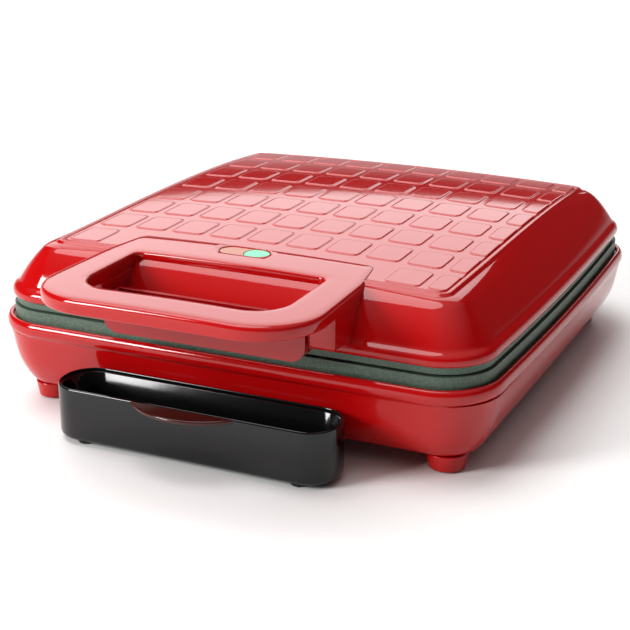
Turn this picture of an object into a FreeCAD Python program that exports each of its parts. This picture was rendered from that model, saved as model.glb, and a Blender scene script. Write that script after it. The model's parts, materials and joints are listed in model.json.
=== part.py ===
"""Four-square waffle maker: hinged clamshell on four feet, with a loop handle and a loose drip tray.

Millimetres, +Z up. The origin lies on the table under the middle of the whole object. The handle faces -Y
and the hinge is at +Y. Every piece is one node, written to parts/NODE.step.
"""
import FreeCAD, Part
import math
import os

V = FreeCAD.Vector

# ---------------------------------------------------------------- overall sizes
PLATE_WIDTH = 300.0        # lower cooking plate, side to side at mid-side
PLATE_DEPTH = 306.0        # lower cooking plate, front to back
PLATE_CORNER = 29.0        # plan radius of the plate's corners
SIDE_BOW = 4.0             # how far the plan's left and right sides swell out
FRONT_BOW = 0.6            # the same for the front and back
WALL = 2.5                 # moulded shells

# ---------------------------------------------------------------- heights above the table
PAD_PROUD = 0.6            # rubber below the foot
FOOT_TOP = 10.0            # underside of the base
FLOOR_THICK = 2.5
RIM_BOTTOM = 44.5          # underside of the base's rolled rim
RIM_TOP = 53.0
LEDGE_TOP = 50.0           # the lower plate's flange sits here
LEDGE_THICK = 2.5
LOWER_FACE = 59.2          # top of the lower plate's land
SEAM = 1.0                 # gap between the two plates
LID_BOTTOM = 64.2
LID_LEDGE = 66.2           # the upper plate's flange sits here
LID_LEDGE_THICK = 2.0
BEAD_TOP = 73.0            # where the lid's rolled rim meets its wall

# ---------------------------------------------------------------- base
RIM_LIP = 5.0              # rim outside the lower plate
RIM_GAP = 1.0              # play between the lower plate and the rim
LEDGE_REACH = 7.0          # how far the ledges reach under the plates' flanges
BELLY_INSET = 3.6          # base wall inside the rim, at the top
BELLY_MIDDLE_INSET = 6.6   # the same half way down
BELLY_MIDDLE = 27.0
BELLY_LOW_INSET = 11.5     # and near the bottom
BELLY_BOW = 1.0            # the base wall's sides swell out less than the plate's
BELLY_LOW = 17.0
BOTTOM_INSET = 17.0        # base underside inside the rim
FLOOR_EDGE = 54.0          # opening closed by the bottom cover, inside the plate's outline
COVER_LAP = 10.0           # cover beyond the opening on each side
COVER_THICK = 2.5
VENT_WIDTH = 4.0
VENT_LENGTH = 46.0

# ---------------------------------------------------------------- feet
FOOT_IN_X = 26.0           # feet, inside the plate's outline
FOOT_IN_Y = 23.0
FOOT_R_TOP = 11.5
FOOT_R_BOTTOM = 10.0
PAD_R = 7.5
PAD_THICK = 3.0

# ---------------------------------------------------------------- cooking plates
UPPER_INSET = 1.5          # upper plate inside the lower plate's outline
UPPER_GAP = 0.5            # play between the upper plate and the lid's rim
BODY_INSET = 18.0          # the thick middle of a plate, inside its outline
BODY_THICK = 15.0
WELL_MARGIN_X = 28.0       # wells, inside the plate's outline
WELL_MARGIN_Y = 29.0
WELL_DEEP = 12.0
WELL_CORNER = 6.0
RIDGE = 12.0               # land between neighbouring wells
BLOCKS = 4                 # grid blocks along each side of a well
BLOCK_BASE = 20.0
BLOCK_TIP = 16.0
BLOCK_HIGH = 8.0
GROOVE_OUT = 4.0           # overflow groove, outside the wells
GROOVE_WIDE = 4.5
GROOVE_DEEP = 2.5
PLATE_BOSS_R = 5.5

# ---------------------------------------------------------------- heaters and what is wired to them
HEATER_R = 3.25
HEATER_OUT_X = 16.0        # heater, outside the plate screws
HEATER_OUT_Y = 15.0
HEATER_CORNER = 25.0
HEATER_GAP = 20.0          # half the gap between a heater's two ends
RIB_WIDE = 5.0             # channel rib on the plate's back, beside the heater
RIB_HIGH = 4.0
PAN_REACH = 26.0           # reflector beyond the heater
PAN_SHEET = 0.8
PAN_LIP = 6.0
LOWER_PAN_DROP = 3.7       # reflector beyond the heater's tube
UPPER_PAN_DROP = 2.3
PAN_NOTCH_X = 26.0
PAN_NOTCH_Y = 9.0
LEAD_R = 1.3
LEAD_BEND = 5.0
LEAD_X = 6.0
BLOCK_HALF_X = 14.0
BLOCK_HALF_Y = 7.0
LOWER_BLOCK_TALL = 14.0
UPPER_BLOCK_DROP = 1.2
THERMOSTAT_R = 9.0
THERMOSTAT_TALL = 8.5
FUSE_R = 2.2
FUSE_LONG = 12.0

# ---------------------------------------------------------------- lid
LID_LIP = 1.0              # lid rim outside the lower plate
LID_WALL_INSET = 4.4       # foot of the lid's wall, inside its rim
WALL_BULGE = 1.2           # the lid's wall swells this much half way up
SHOULDER_IN_SIDE = 21.5    # the lid's top edge, inside the plate's outline
SHOULDER_IN_FRONT = 18.0
SHOULDER_IN_BACK = 9.0
SHOULDER_CORNER = 14.0
PANEL_IN_SIDE = 6.5        # raised panel, inside the lid's top edge
PANEL_IN_FRONT = 7.0
PANEL_IN_BACK = 6.0
PANEL_CORNER = 10.0
PANEL_STEP = 1.2
CROWN_HIGH = 96.0          # lid top at mid-side
CROWN_ACROSS = 2.4         # the middle stands this much above the sides
CROWN_EDGE = 23.0          # the falls below are met this far inside the plate's outline
CROWN_SQUARE = 3.0         # fall towards front and back
CROWN_CUBE = 1.9           # extra fall towards the back
PAD_PITCH_X = 24.6
PAD_PITCH_Y = 33.0
PAD_SIZE_X = 20.0
PAD_SIZE_Y = 25.0
PAD_CORNER = 3.5
PAD_HIGH = 0.6
PAD_MARGIN_X = 17.8        # middle of the left column, inside the panel
PAD_MARGIN_Y = 18.0        # middle of the front row

# ---------------------------------------------------------------- handle
HANDLE_X = -3.0            # the loop, its bridge and the lamps sit this much off the middle
HANDLE_HALF = 82.0
HANDLE_TAPER = 2.8         # the loop is narrower by this where it meets the lid
HANDLE_REACH = 68.0        # beyond the plate's front
HANDLE_CORNER = 38.0
HANDLE_TOP = 98.5         # at the middle
HANDLE_FALL = 1.5          # the top falls this much towards the arms' outer sides
SKIRT_BOTTOM = 89.5
BRIDGE_REACH = 34.0        # onto the lid, behind its top front edge
BRIDGE_HALF = 73.5
BRIDGE_BOTTOM = 95.5
BRIDGE_FLOOR = 3.0         # lid plastic under the bridge
BRIDGE_PLAY = 0.2
SLOT_HALF = 58.5
SLOT_GRIP = 22.5           # bar in front of the slot
SLOT_IN = 1.0              # slot behind the lid's top front edge
SLOT_CORNER = 20.0
NECK_INNER = 61.4
NECK_OUTER = 76.5
NECK_REACH = 19.0          # beyond the plate's front
NECK_BOTTOM = 66.8
NECK_RISE = 5.0            # the neck's underside climbs this much towards the front
GUARD_HALF = 60.5
GUARD_PROUD = 1.0          # in front of the necks
GUARD_GAP = 3.0            # behind it, to the plate's front
GUARD_BOTTOM = 63.4
GUARD_TOP = 84.0
GUARD_CORNER = 9.0

# ---------------------------------------------------------------- lamps
LAMP_X = -5.2
LAMP_IN = 10.3             # lamps in front of the bridge's rear edge
LAMP_SPREAD = 8.2          # each lens centre from the pair's middle
LENS_R = 6.8
LENS_PLAY = 0.25
LENS_SUNK = 0.4
LAMP_POCKET_FLOOR = 96.3
LAMP_R = 2.6
LAMP_HOLDER_BOTTOM = 86.5

# ---------------------------------------------------------------- hinge
HINGE_BEHIND = 14.0        # hinge axis behind the plate
HINGE_Z = 60.0
HINGE_IN_X = 50.0
PIN_R = 3.0
PIN_PLAY = 0.05
PIN_HEAD_R = 4.5
PIN_HEAD = 1.5
BARREL_R = 7.5
BARREL_LONG = 23.4
EAR_R = 8.0
EAR_THICK = 6.0
EAR_PLAY = 0.3
BRACKET_BOTTOM = 22.0
BRACKET_BEHIND = 9.0       # beyond the hinge axis
BRACKET_SADDLE = 50.5      # top of the bracket between its ears

# ---------------------------------------------------------------- drip tray
TRAY_X = -4.0
TRAY_HALF = 84.5
TRAY_GAP = 1.0             # behind the tray, to the plate's front
TRAY_DEEP = 36.0
TRAY_CORNER = 17.0
TRAY_BOTTOM = 2.4
TRAY_TOP = 33.0
TRAY_WALL = 2.0
TRAY_LIP = 0.8             # wall left beside the rim's ledge
TRAY_RIM_THICK = 2.0
TAB_HALF = 31.0
TAB_REACH = 13.0
TAB_THICK = 2.4
BALL_R = 3.2
BALL_X = 65.0

# ---------------------------------------------------------------- cord gland and screws
GLAND_X = 40.0
GLAND_Z = 28.0
GLAND_R = 6.0
GLAND_FLANGE_R = 9.0
GLAND_FLANGE = 4.0
GLAND_BORE_R = 3.8
SCREW_R = 2.0
SCREW_HEAD_R = 3.6
SCREW_HEAD = 2.2
BOSS_R = 6.0

# ---------------------------------------------------------------- worked out
UPPER_FACE = LOWER_FACE + SEAM
RIM_WIDTH = PLATE_WIDTH + 2 * RIM_LIP
RIM_DEPTH = PLATE_DEPTH + 2 * RIM_LIP
FLOOR_TOP = FOOT_TOP + FLOOR_THICK
COVER_TOP = FLOOR_TOP + COVER_THICK
LOWER_BACK = LOWER_FACE - BODY_THICK
UPPER_BACK = UPPER_FACE + BODY_THICK
LOWER_HEATER_Z = LOWER_BACK - HEATER_R
UPPER_HEATER_Z = UPPER_BACK + HEATER_R
LOWER_PAN_TOP = LOWER_HEATER_Z - HEATER_R - LOWER_PAN_DROP
UPPER_PAN_BOTTOM = UPPER_HEATER_Z + HEATER_R + UPPER_PAN_DROP
UPPER_BLOCK_BOTTOM = UPPER_PAN_BOTTOM + PAN_SHEET + UPPER_BLOCK_DROP
HALF_X = PLATE_WIDTH / 2
HALF_Y = PLATE_DEPTH / 2
FLOOR_OPEN_X = PLATE_WIDTH - 2 * FLOOR_EDGE
FLOOR_OPEN_Y = PLATE_DEPTH - 2 * FLOOR_EDGE
FOOT_X = HALF_X - FOOT_IN_X
FOOT_Y = HALF_Y - FOOT_IN_Y
WELL_X = HALF_X - WELL_MARGIN_X - RIDGE / 2
WELL_Y = HALF_Y - WELL_MARGIN_Y - RIDGE / 2
BLOCK_PITCH_X = WELL_X / BLOCKS
BLOCK_PITCH_Y = WELL_Y / BLOCKS
HEATER_HALF_X = (WELL_X + RIDGE) / 2 + HEATER_OUT_X
HEATER_HALF_Y = (WELL_Y + RIDGE) / 2 + HEATER_OUT_Y
PAN_HALF_X = HEATER_HALF_X + PAN_REACH
PAN_HALF_Y = HEATER_HALF_Y + PAN_REACH
SHOULDER_HALF_X = HALF_X - SHOULDER_IN_SIDE
SHOULDER_FRONT = -HALF_Y + SHOULDER_IN_FRONT
SHOULDER_BACK = HALF_Y - SHOULDER_IN_BACK
PANEL_HALF_X = SHOULDER_HALF_X - PANEL_IN_SIDE
PANEL_FRONT = SHOULDER_FRONT + PANEL_IN_FRONT
PANEL_BACK = SHOULDER_BACK - PANEL_IN_BACK
HANDLE_FRONT = -HALF_Y - HANDLE_REACH
BRIDGE_BACK = SHOULDER_FRONT + BRIDGE_REACH
SLOT_FRONT = HANDLE_FRONT + SLOT_GRIP
SLOT_BACK = SHOULDER_FRONT + SLOT_IN
NECK_FRONT = -HALF_Y - NECK_REACH
GUARD_FRONT = NECK_FRONT - GUARD_PROUD
GUARD_BACK = -HALF_Y - GUARD_GAP
LAMP_Y = BRIDGE_BACK - LAMP_IN
HINGE_X = HALF_X - HINGE_IN_X
HINGE_Y = HALF_Y + HINGE_BEHIND
BRACKET_BACK = HINGE_Y + BRACKET_BEHIND
TRAY_BACK = -HALF_Y - TRAY_GAP
TRAY_FRONT = TRAY_BACK - TRAY_DEEP
FRAME_SHIFT_Y = -(HANDLE_FRONT + BRACKET_BACK) / 2
FAR = 400.0

nodes = {}


# ---------------------------------------------------------------- shape helpers
def outline(half_w, half_d, corner, bow_side, bow_front, z, centre_y=0.0):
    """Closed wire: a rectangle with softly bowed sides and tangent round corners."""
    side_r = (half_d ** 2 + bow_side ** 2) / (2 * bow_side)
    front_r = (half_w ** 2 + bow_front ** 2) / (2 * bow_front)
    side_c = V(half_w - side_r, 0, 0)
    front_c = V(0, half_d - front_r, 0)
    between = front_c - side_c
    gap = between.Length
    along = ((side_r - corner) ** 2 - (front_r - corner) ** 2 + gap ** 2) / (2 * gap)
    across = math.sqrt((side_r - corner) ** 2 - along ** 2)
    unit = V(between.x / gap, between.y / gap, 0)
    first = side_c + unit * along + V(unit.y, -unit.x, 0) * across
    second = side_c + unit * along - V(unit.y, -unit.x, 0) * across
    centre = first if first.x + first.y > second.x + second.y else second
    on_side = side_c + (centre - side_c).normalize() * side_r
    on_back = front_c + (centre - front_c).normalize() * front_r
    middle = centre + ((on_side - centre) + (on_back - centre)).normalize() * corner

    def put(point, sx, sy):
        return V(point.x * sx, point.y * sy + centre_y, z)

    edges = []
    for sx, sy in ((1, 1), (-1, 1), (-1, -1), (1, -1)):
        start, end = (on_side, on_back) if sx * sy > 0 else (on_back, on_side)
        edges.append(Part.Arc(put(start, sx, sy), put(middle, sx, sy), put(end, sx, sy)).toShape())
        if sx * sy > 0:
            through = V(0, half_d * sy + centre_y, z)
            edges.append(Part.Arc(put(end, sx, sy), through, put(end, -sx, sy)).toShape())
        else:
            through = V(half_w * sx, centre_y, z)
            edges.append(Part.Arc(put(end, sx, sy), through, put(end, sx, -sy)).toShape())
    return Part.Wire(edges)


def plate_outline(inset, z, bow=SIDE_BOW):
    """The lower plate's plan outline, moved in by inset (out when it is negative)."""
    return outline(HALF_X - inset, HALF_Y - inset, max(PLATE_CORNER - inset, 4.0), bow, FRONT_BOW, z)


def rim_outline(inset, z):
    """The same outline, counted from the outside of the base's rim."""
    return plate_outline(inset - RIM_LIP, z)


def belly_outline(inset, z):
    """Outline of the base's wall, counted from the outside of the rim."""
    return plate_outline(inset - RIM_LIP, z, BELLY_BOW)


def stack(wires):
    """Solid with straight flanks from one wire to the next."""
    return Part.makeLoft(wires, True, True)


def prism(wire, height):
    return Part.Face(wire).extrude(V(0, 0, height))


def rounded_polygon(corners, z):
    """Closed wire through (x, y, radius) corners."""
    turns = []
    for i, (x, y, radius) in enumerate(corners):
        here = V(x, y, z)
        last = corners[i - 1]
        following = corners[(i + 1) % len(corners)]
        to_last = (V(last[0], last[1], z) - here).normalize()
        to_next = (V(following[0], following[1], z) - here).normalize()
        half = to_last.getAngle(to_next) / 2
        reach = radius / math.tan(half)
        centre = here + (to_last + to_next).normalize() * (radius / math.sin(half))
        middle = centre + (here - centre).normalize() * radius
        turns.append((here + to_last * reach, middle, here + to_next * reach))
    edges = []
    for i, (start, middle, end) in enumerate(turns):
        edges.append(Part.Arc(start, middle, end).toShape())
        following = turns[(i + 1) % len(turns)][0]
        if (following - end).Length > 1e-4:
            edges.append(Part.LineSegment(end, following).toShape())
    return Part.Wire(edges)


def rounded_box(x0, x1, y0, y1, radius, z, height):
    return prism(rounded_polygon([(x0, y0, radius), (x1, y0, radius), (x1, y1, radius), (x0, y1, radius)], z),
                 height)


def box(x0, x1, y0, y1, z0, z1):
    return Part.makeBox(x1 - x0, y1 - y0, z1 - z0, V(x0, y0, z0))


def profile_x(points, x0, x1):
    """Prism along X from (y, z) points."""
    corners = [V(x0, y, z) for y, z in points]
    return Part.Face(Part.makePolygon(corners + corners[:1])).extrude(V(x1 - x0, 0, 0))


def cylinder(radius, base, direction, length):
    return Part.makeCylinder(radius, length, base, direction)


def screw(seat, direction, length, radius=SCREW_R, head_r=SCREW_HEAD_R, head=SCREW_HEAD):
    """Pan-head screw: the head's underside is at seat and the shank runs along direction."""
    shank = cylinder(radius, seat, direction, length)
    cap = cylinder(head_r, seat - direction * head, direction, head)
    drive = box(-head_r * 0.6, head_r * 0.6, -0.5, 0.5, 0, head * 0.5)
    drive = drive.fuse(box(-0.5, 0.5, -head_r * 0.6, head_r * 0.6, 0, head * 0.5))
    drive.Placement = FreeCAD.Placement(seat - direction * head, FreeCAD.Rotation(V(0, 0, 1), direction))
    return cap.fuse(shank).cut(drive).removeSplitter()


def group(solids):
    return Part.makeCompound(solids)


def union(shapes):
    return shapes[0].multiFuse(shapes[1:])


def main_piece(shape):
    """The largest solid: drops the crumbs left where a screw's drive recess was cut around."""
    return sorted(shape.Solids, key=lambda s: -s.Volume)[0].removeSplitter()


def crown(x, y):
    """Height of the lid panel's top at a plan position."""
    run = y / (HALF_Y - CROWN_EDGE)
    side = CROWN_HIGH - CROWN_SQUARE * run ** 2 - CROWN_CUBE * run ** 3
    return side + CROWN_ACROSS * (1 - (x / PANEL_HALF_X) ** 2)


def above_crown(offset):
    """Everything above the crown surface moved up by offset."""
    half_x = PANEL_HALF_X * 1.35
    half_y = PLATE_DEPTH / 2 * 1.1
    steps_x = 8
    steps_y = 12
    grid = []
    for i in range(steps_x + 1):
        x = -half_x + 2 * half_x * i / steps_x
        row = [V(x, y, crown(x, y) + offset)
               for y in (-half_y + 2 * half_y * j / steps_y for j in range(steps_y + 1))]
        grid.append(row)
    surface = Part.BSplineSurface()
    surface.interpolate(grid)
    return surface.toShape().extrude(V(0, 0, FAR))


# ---------------------------------------------------------------- base body
def base_outer():
    """The base's outside, solid: tapered belly and rolled rim."""
    belly = stack([belly_outline(BOTTOM_INSET, FOOT_TOP), belly_outline(BELLY_LOW_INSET + 2.0, FOOT_TOP + 2.0),
                   belly_outline(BELLY_LOW_INSET, BELLY_LOW), belly_outline(BELLY_MIDDLE_INSET, BELLY_MIDDLE),
                   belly_outline(BELLY_INSET, RIM_BOTTOM), belly_outline(BELLY_INSET, RIM_BOTTOM + 1.5)])
    tall = RIM_TOP - RIM_BOTTOM
    bead = stack([rim_outline(1.6, RIM_BOTTOM), rim_outline(0.4, RIM_BOTTOM + 0.14 * tall),
                  rim_outline(0.0, RIM_BOTTOM + 0.38 * tall), rim_outline(0.3, RIM_BOTTOM + 0.68 * tall),
                  rim_outline(1.2, RIM_BOTTOM + 0.9 * tall), rim_outline(2.4, RIM_TOP)])
    return belly.fuse(bead)


def wall_boss(x, z, tip_y, outer):
    """Screw boss inside a front or rear wall, from tip_y out to the wall."""
    direction = V(0, math.copysign(1, tip_y), 0)
    return cylinder(BOSS_R, V(x, tip_y, z), direction, 40.0).common(outer)


def bracket_screws():
    y = bracket_seat()
    return [screw(V(sx * HINGE_X + dx, y, BRACKET_BOTTOM + 8.0), V(0, 1, 0), 18.0)
            for sx in (-1, 1) for dx in (-11.0, 11.0)]


def bracket_seat():
    """Where the bracket screws' heads bear, inside the rear wall."""
    return RIM_DEPTH / 2 - BELLY_LOW_INSET - 6.0


def make_base_shell(outer, gland_hole, screws):
    cavity = stack([belly_outline(BOTTOM_INSET + 0.5, FLOOR_TOP), belly_outline(BELLY_LOW_INSET + WALL, BELLY_LOW),
                    belly_outline(BELLY_MIDDLE_INSET + WALL, BELLY_MIDDLE),
                    belly_outline(BELLY_INSET + WALL, RIM_BOTTOM),
                    belly_outline(BELLY_INSET + WALL, LEDGE_TOP - LEDGE_THICK)])
    mouth = prism(plate_outline(LEDGE_REACH, RIM_BOTTOM), RIM_TOP)
    seat = prism(plate_outline(-RIM_GAP, LEDGE_TOP), RIM_TOP)
    hatch = rounded_box(-FLOOR_OPEN_X / 2, FLOOR_OPEN_X / 2, -FLOOR_OPEN_Y / 2, FLOOR_OPEN_Y / 2, 8.0, 0, BELLY_LOW)
    shell = outer.cut(union([cavity, mouth, seat, hatch]))
    bosses = [wall_boss(s.x, s.z, bracket_seat(), outer)
              for s in (V(sx * HINGE_X + dx, 0, BRACKET_BOTTOM + 8.0) for sx in (-1, 1) for dx in (-11.0, 11.0))]
    shell = shell.multiFuse(bosses)
    return shell.cut(union([gland_hole] + screws)).removeSplitter()


def foot_screw_solids():
    return [screw(V(sx * FOOT_X, sy * FOOT_Y, FLOOR_TOP), V(0, 0, -1), 7.5) for sx in (-1, 1) for sy in (-1, 1)]


def cover_screw_solids():
    x = FLOOR_OPEN_X / 2 + COVER_LAP / 2
    return [screw(V(sx * x, sy * 45.0, FOOT_TOP), V(0, 0, 1), FLOOR_THICK + COVER_THICK + 3.0)
            for sx in (-1, 1) for sy in (-1, 1)]


def screw_spots():
    """Plate screws: on the ridges between the wells, half way along."""
    at_x = (WELL_X + RIDGE) / 2
    at_y = (WELL_Y + RIDGE) / 2
    return [V(0, at_y, 0), V(0, -at_y, 0), V(at_x, 0, 0), V(-at_x, 0, 0)]


def lower_plate_screw_solids():
    depth = LOWER_FACE - LOWER_PAN_TOP + 8.0
    return [screw(spot + V(0, 0, LOWER_FACE - SCREW_HEAD), V(0, 0, -1), depth) for spot in screw_spots()]


def upper_plate_screw_solids():
    depth = UPPER_PAN_BOTTOM - UPPER_FACE + 5.0
    return [screw(spot + V(0, 0, UPPER_FACE + SCREW_HEAD), V(0, 0, 1), depth) for spot in screw_spots()]


def make_feet(screws):
    corners = {"front_left": (-1, -1), "front_right": (1, -1), "rear_left": (-1, 1), "rear_right": (1, 1)}
    pads = []
    for name, (sx, sy) in corners.items():
        spot = V(sx * FOOT_X, sy * FOOT_Y, PAD_PROUD)
        foot = Part.makeCone(FOOT_R_BOTTOM, FOOT_R_TOP, FOOT_TOP - PAD_PROUD, spot)
        pad = cylinder(PAD_R, V(spot.x, spot.y, 0), V(0, 0, 1), PAD_THICK)
        nodes["foot_" + name] = foot.cut(union([pad] + screws))
        pads.append(pad.makeFillet(0.4, [e for e in pad.Edges if e.Curve.TypeId == "Part::GeomCircle"
                                         and e.BoundBox.ZMax < 0.01]))
    nodes["rubber_pads"] = group(pads)


def make_bottom_cover(screws):
    half_x = FLOOR_OPEN_X / 2 + COVER_LAP
    half_y = FLOOR_OPEN_Y / 2 + COVER_LAP
    cover = rounded_box(-half_x, half_x, -half_y, half_y, 8.0, FLOOR_TOP, COVER_THICK)
    towers = [cylinder(PLATE_BOSS_R, spot + V(0, 0, COVER_TOP), V(0, 0, 1), LOWER_PAN_TOP - PAN_SHEET - COVER_TOP)
              for spot in screw_spots()]
    bosses = [cylinder(4.5, V(s.BoundBox.Center.x, s.BoundBox.Center.y, COVER_TOP), V(0, 0, 1), 3.0)
              for s in cover_screw_solids()]
    vents = [box(sx * 40.0 - VENT_LENGTH / 2, sx * 40.0 + VENT_LENGTH / 2, y, y + VENT_WIDTH, 0, COVER_TOP)
             for sx in (-1, 1) for y in (-46.0, -34.0, -22.0, 18.0, 30.0, 42.0)]
    return union([cover] + towers + bosses).cut(union(vents + screws)).removeSplitter()


# ---------------------------------------------------------------- cooking plates, heaters, reflectors
def heater_path(z):
    """Rounded rectangle, open in the middle of its rear run."""
    hx = HEATER_HALF_X
    hy = HEATER_HALF_Y
    r = HEATER_CORNER
    s = r * (1 - math.sqrt(0.5))
    edges = [Part.LineSegment(V(-HEATER_GAP, hy, z), V(-hx + r, hy, z)).toShape(),
             Part.Arc(V(-hx + r, hy, z), V(-hx + s, hy - s, z), V(-hx, hy - r, z)).toShape(),
             Part.LineSegment(V(-hx, hy - r, z), V(-hx, -hy + r, z)).toShape(),
             Part.Arc(V(-hx, -hy + r, z), V(-hx + s, -hy + s, z), V(-hx + r, -hy, z)).toShape(),
             Part.LineSegment(V(-hx + r, -hy, z), V(hx - r, -hy, z)).toShape(),
             Part.Arc(V(hx - r, -hy, z), V(hx - s, -hy + s, z), V(hx, -hy + r, z)).toShape(),
             Part.LineSegment(V(hx, -hy + r, z), V(hx, hy - r, z)).toShape(),
             Part.Arc(V(hx, hy - r, z), V(hx - s, hy - s, z), V(hx - r, hy, z)).toShape(),
             Part.LineSegment(V(hx - r, hy, z), V(HEATER_GAP, hy, z)).toShape()]
    return Part.Wire(edges)


def make_heater(z):
    section = Part.Wire([Part.Circle(V(-HEATER_GAP, HEATER_HALF_Y, z), V(1, 0, 0), HEATER_R).toShape()])
    return heater_path(z).makePipeShell([section], True, False)


def make_plate(inset, flange, boss_end, heater, screws):
    """Waffle plate with its cooking face at z = 0 facing up and its back downwards."""
    half_x = PLATE_WIDTH / 2 - BODY_INSET
    half_y = PLATE_DEPTH / 2 - BODY_INSET
    rim = prism(plate_outline(inset, 0), -flange)
    body = rounded_box(-half_x, half_x, -half_y, half_y, 12.0, -BODY_THICK, BODY_THICK)
    rib_out = HEATER_R + RIB_WIDE
    rib = rounded_box(-HEATER_HALF_X - rib_out, HEATER_HALF_X + rib_out, -HEATER_HALF_Y - rib_out,
                      HEATER_HALF_Y + rib_out, HEATER_CORNER + rib_out, -BODY_THICK - RIB_HIGH, RIB_HIGH + 1)
    rib = rib.cut(rounded_box(-HEATER_HALF_X + rib_out, HEATER_HALF_X - rib_out, -HEATER_HALF_Y + rib_out,
                              HEATER_HALF_Y - rib_out, HEATER_CORNER - rib_out, -2 * BODY_THICK, BODY_THICK))
    rib = rib.cut(box(-HEATER_GAP, HEATER_GAP, 0, FAR, -2 * BODY_THICK, 0))
    bosses = [cylinder(PLATE_BOSS_R, spot + V(0, 0, -BODY_THICK), V(0, 0, -1), boss_end - BODY_THICK)
              for spot in screw_spots()]
    plate = union([rim, body, rib] + bosses)
    wells = []
    blocks = []
    for sx in (-1, 1):
        for sy in (-1, 1):
            cx = sx * (WELL_X + RIDGE) / 2
            cy = sy * (WELL_Y + RIDGE) / 2
            wells.append(rounded_box(cx - WELL_X / 2, cx + WELL_X / 2, cy - WELL_Y / 2, cy + WELL_Y / 2,
                                     WELL_CORNER, -WELL_DEEP, WELL_DEEP))
            blocks += well_blocks(cx, cy)
    out_x = WELL_X + RIDGE / 2 + GROOVE_OUT
    out_y = WELL_Y + RIDGE / 2 + GROOVE_OUT
    groove = rounded_box(-out_x, out_x, -out_y, out_y, 8.0, -GROOVE_DEEP, GROOVE_DEEP)
    in_x = out_x - GROOVE_WIDE + 1.5
    in_y = out_y - GROOVE_WIDE + 1.5
    groove = groove.cut(rounded_box(-in_x, in_x, -in_y, in_y, 7.0, -GROOVE_DEEP, GROOVE_DEEP))
    plate = plate.cut(union(wells)).cut(groove)
    return main_piece(plate.multiFuse(blocks).cut(union([heater] + screws)))


def well_blocks(cx, cy):
    """The grid blocks of one well: square frustums standing on its floor."""
    blocks = []
    low = BLOCK_BASE / 2
    high = BLOCK_TIP / 2
    for i in range(BLOCKS):
        for j in range(BLOCKS):
            block = Part.makeWedge(-low, 0, -low, -high, -high, low, BLOCK_HIGH, low, high, high)
            block.rotate(V(0, 0, 0), V(1, 0, 0), 90)
            block.translate(V(cx + (i - (BLOCKS - 1) / 2) * BLOCK_PITCH_X,
                              cy + (j - (BLOCKS - 1) / 2) * BLOCK_PITCH_Y, -WELL_DEEP))
            blocks.append(block)
    return blocks


def place_lower(shape):
    moved = shape.copy()
    moved.translate(V(0, 0, LOWER_FACE))
    return moved


def place_upper(shape):
    turned = shape.mirror(V(0, 0, 0), V(0, 0, 1))
    turned.translate(V(0, 0, UPPER_FACE))
    return turned


def make_pan(sheet_low, lip_up, screws):
    """Heat reflector: a shallow tray of thin sheet, with a notch for the heater's ends."""
    hx = PAN_HALF_X
    hy = PAN_HALF_Y
    tall = PAN_LIP + PAN_SHEET
    low = sheet_low if lip_up else sheet_low + PAN_SHEET - tall
    tray = rounded_box(-hx, hx, -hy, hy, 10.0, low, tall)
    hollow_low = low + PAN_SHEET if lip_up else low
    hollow = rounded_box(-hx + PAN_SHEET, hx - PAN_SHEET, -hy + PAN_SHEET, hy - PAN_SHEET, 10.0 - PAN_SHEET,
                         hollow_low, tall - PAN_SHEET)
    notch = box(-PAN_NOTCH_X, PAN_NOTCH_X, HEATER_HALF_Y - PAN_NOTCH_Y, HEATER_HALF_Y + PAN_NOTCH_Y,
                low - 1, low + tall + 1)
    return tray.cut(union([hollow, notch] + screws)).removeSplitter()


def make_leads(heater_z, block_z):
    """Two leads from the heater's ends, bending down or up into a terminal block."""
    up = math.copysign(1, block_z - heater_z)
    bend = LEAD_BEND
    knee = bend * math.sqrt(0.5)
    leads = []
    for sx in (-1, 1):
        y = HEATER_HALF_Y
        start = V(sx * HEATER_GAP, y, heater_z)
        turn = V(sx * (LEAD_X + bend), y, heater_z)
        after = V(sx * LEAD_X, y, heater_z + up * bend)
        middle = V(sx * (LEAD_X + bend - knee), y, heater_z + up * (bend - knee))
        end = V(sx * LEAD_X, y, block_z)
        path = Part.Wire([Part.LineSegment(start, turn).toShape(), Part.Arc(turn, middle, after).toShape(),
                          Part.LineSegment(after, end).toShape()])
        section = Part.Wire([Part.Circle(start, V(1, 0, 0), LEAD_R).toShape()])
        leads.append(path.makePipeShell([section], True, False))
    return group(leads)


# ---------------------------------------------------------------- lid body
def lid_wire(inset, z):
    """Outline counted from the outside of the lid's rolled rim."""
    return plate_outline(inset - LID_LIP, z)


def lid_wall_wire(inset, up):
    """The lid's wall at a share of its height: 0 at the rolled rim, 1 at the top edge, which tilts back."""
    front_z = crown(SHOULDER_HALF_X, SHOULDER_FRONT) - PANEL_STEP
    back_z = crown(SHOULDER_HALF_X, SHOULDER_BACK) - PANEL_STEP
    foot = LID_LIP - LID_WALL_INSET
    bulge = WALL_BULGE * 4 * up * (1 - up)
    half_x = HALF_X + foot + (SHOULDER_HALF_X - HALF_X - foot) * up + bulge - inset
    front = -HALF_Y - foot + (SHOULDER_FRONT + HALF_Y + foot) * up - bulge
    back = HALF_Y + foot + (SHOULDER_BACK - HALF_Y - foot) * up + bulge
    corner = PLATE_CORNER + foot + (SHOULDER_CORNER - PLATE_CORNER - foot) * up - inset
    bow = SIDE_BOW + (1.0 - SIDE_BOW) * up
    z = BEAD_TOP + ((front_z + back_z) / 2 - BEAD_TOP) * up - inset * up
    middle = (front + back) / 2
    wire = outline(half_x, (back - front) / 2 - inset, corner, bow, FRONT_BOW, z, middle)
    tilt = math.degrees(math.atan2(back_z - front_z, SHOULDER_BACK - SHOULDER_FRONT)) * up
    wire.rotate(V(0, middle, z), V(1, 0, 0), tilt)
    return wire


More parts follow.
